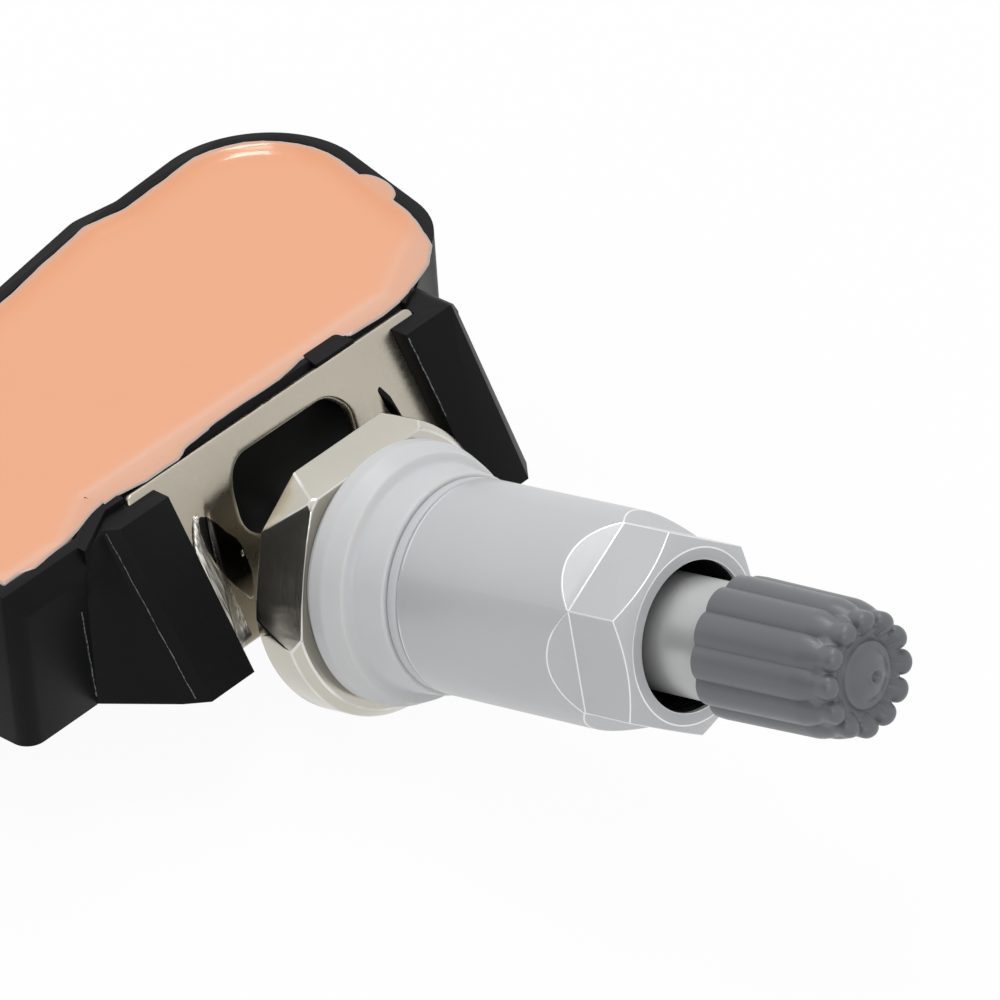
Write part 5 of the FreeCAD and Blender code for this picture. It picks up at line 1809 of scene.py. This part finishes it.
@dataclass
class Studio:
    """Pale floor, soft light with one darker side, and camera.

    Attributes:
        floor_height: Height of the floor, just under the part.
        floor_side: Length of its side.
        camera_place: Where the camera stands.
        right: Direction of the picture's right.
        up: Direction of the picture's top.
        focal: Focal length in millimetres.
        sensor: Width of the sensor in millimetres.
        dark_side: Middle of the darker patch that mirrors see.
        patch: Where the patch starts, where it is full, and how dark it is.
        lamps: The lamps.
    """

    floor_height: float = -0.0112
    floor_side: float = 3.0
    camera_place: Triple = (-0.3227, -0.3147, 0.3189)
    right: Triple = (0.6555, -0.753, -0.0573)
    up: Triple = (0.4624, 0.3403, 0.8188)
    focal: float = 288.0
    sensor: float = 36.0
    dark_side: Triple = (-0.944, 0.222, 0.241)
    patch: Triple = (0.76, 0.94, 0.97)
    lamps: tuple[Lamp, ...] = (
        Lamp("top_lamp", (0.02, 0.02, 0.9), 0.34, 1.5),
        Lamp("side_lamp", (-0.5, -0.5, 0.5), 0.3, 0.8),
        Lamp("gloss_lamp", (0.275, 0.252, 0.815), 0.2, 1.2),
    )

    def floor(self) -> None:
        """Lay the floor."""
        side = self.floor_side / 2
        corners = [(-side, -side), (side, -side), (side, side), (-side, side)]
        mesh = bpy.data.meshes.new("studio_floor")
        mesh.from_pydata([(x, y, self.floor_height) for x, y in corners], [], [(0, 1, 2, 3)])
        thing = add_object("studio_floor", mesh)
        material = bpy.data.materials.new("floor_paper")
        material.use_nodes = True
        tree = material.node_tree
        tree.nodes.clear()
        sheet = NodeSheet(tree)
        paper = sheet.add("ShaderNodeBsdfDiffuse")
        paper.inputs["Color"].default_value = (0.85, 0.85, 0.85, 1.0)
        glow = sheet.add("ShaderNodeEmission")
        glow.inputs["Color"].default_value = (1.0, 1.0, 1.0, 1.0)
        mix = sheet.add("ShaderNodeMixShader")
        share = sheet.math("MULTIPLY", self.seen(sheet), 0.95)
        for source, socket in zip((share, paper.outputs[0], glow.outputs[0]), mix.inputs):
            sheet.join(source, socket)
        sheet.join(mix.outputs[0], sheet.add("ShaderNodeOutputMaterial").inputs[0])
        mesh.materials.append(material)

    def seen(self, sheet: NodeSheet) -> Socket:
        """Whether a ray comes from the camera, a mirror or glass.

        Args:
            sheet: Where the nodes go.

        Returns:
            A socket that is 1 for such rays.
        """
        path = sheet.add("ShaderNodeLightPath")
        mirror = sheet.math("MAXIMUM", path.outputs["Is Camera Ray"], path.outputs["Is Glossy Ray"])
        return sheet.math("MAXIMUM", mirror, path.outputs["Is Transmission Ray"])

    def sky(self) -> None:
        """Light the part softly from all round."""
        world = bpy.data.worlds.new("studio_light")
        bpy.context.scene.world = world
        world.use_nodes = True
        sheet = NodeSheet(world.node_tree)
        back = world.node_tree.nodes["Background"]
        back.inputs["Color"].default_value = (1.0, 1.0, 1.0, 1.0)
        strength = sheet.span(self.seen(sheet), 0.0, 1.0, 0.66, 1.0)
        side = sheet.add("ShaderNodeVectorMath", operation="DOT_PRODUCT")
        sheet.join(sheet.add("ShaderNodeTexCoord").outputs["Generated"], side.inputs[0])
        side.inputs[1].default_value = self.dark_side
        start, full, depth = self.patch
        patch = sheet.span(side.outputs["Value"], start, full, 0.0, depth)
        mirror = sheet.add("ShaderNodeLightPath").outputs["Is Glossy Ray"]
        shade = sheet.math("MULTIPLY", patch, mirror)
        sheet.join(sheet.math("SUBTRACT", strength, shade), back.inputs["Strength"])

    def camera(self) -> None:
        """Set up the camera at the photograph's angle."""
        lens = bpy.data.cameras.new("view_camera")
        lens.lens = self.focal
        lens.sensor_width = self.sensor
        lens.clip_start = 0.01
        thing = add_object("view_camera", lens)
        right, up = Vector(self.right), Vector(self.up)
        turn = Matrix((right, up, right.cross(up))).transposed().to_4x4()
        thing.matrix_world = Matrix.Translation(self.camera_place) @ turn
        bpy.context.scene.camera = thing

    def build(self) -> None:
        """Build floor, light and camera."""
        self.floor()
        self.sky()
        for lamp in self.lamps:
            lamp.build()
        self.camera()
        bpy.context.scene.view_settings.view_transform = "Standard"


def main() -> None:
    """Build the part's looks and the studio."""
    logging.basicConfig(level=logging.INFO, format="%(message)s")
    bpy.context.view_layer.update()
    housing = Housing()
    for group in (
        housing,
        Potting(housing),
        Bracket(),
        ValveStem(),
        Seal(),
        Washer(),
        CollarNut(),
        Cap(),
        Inside(),
        Studio(),
    ):
        group.build()
        LOG.info("%s is built", type(group).__name__)


if __name__ == "__main__":
    main()
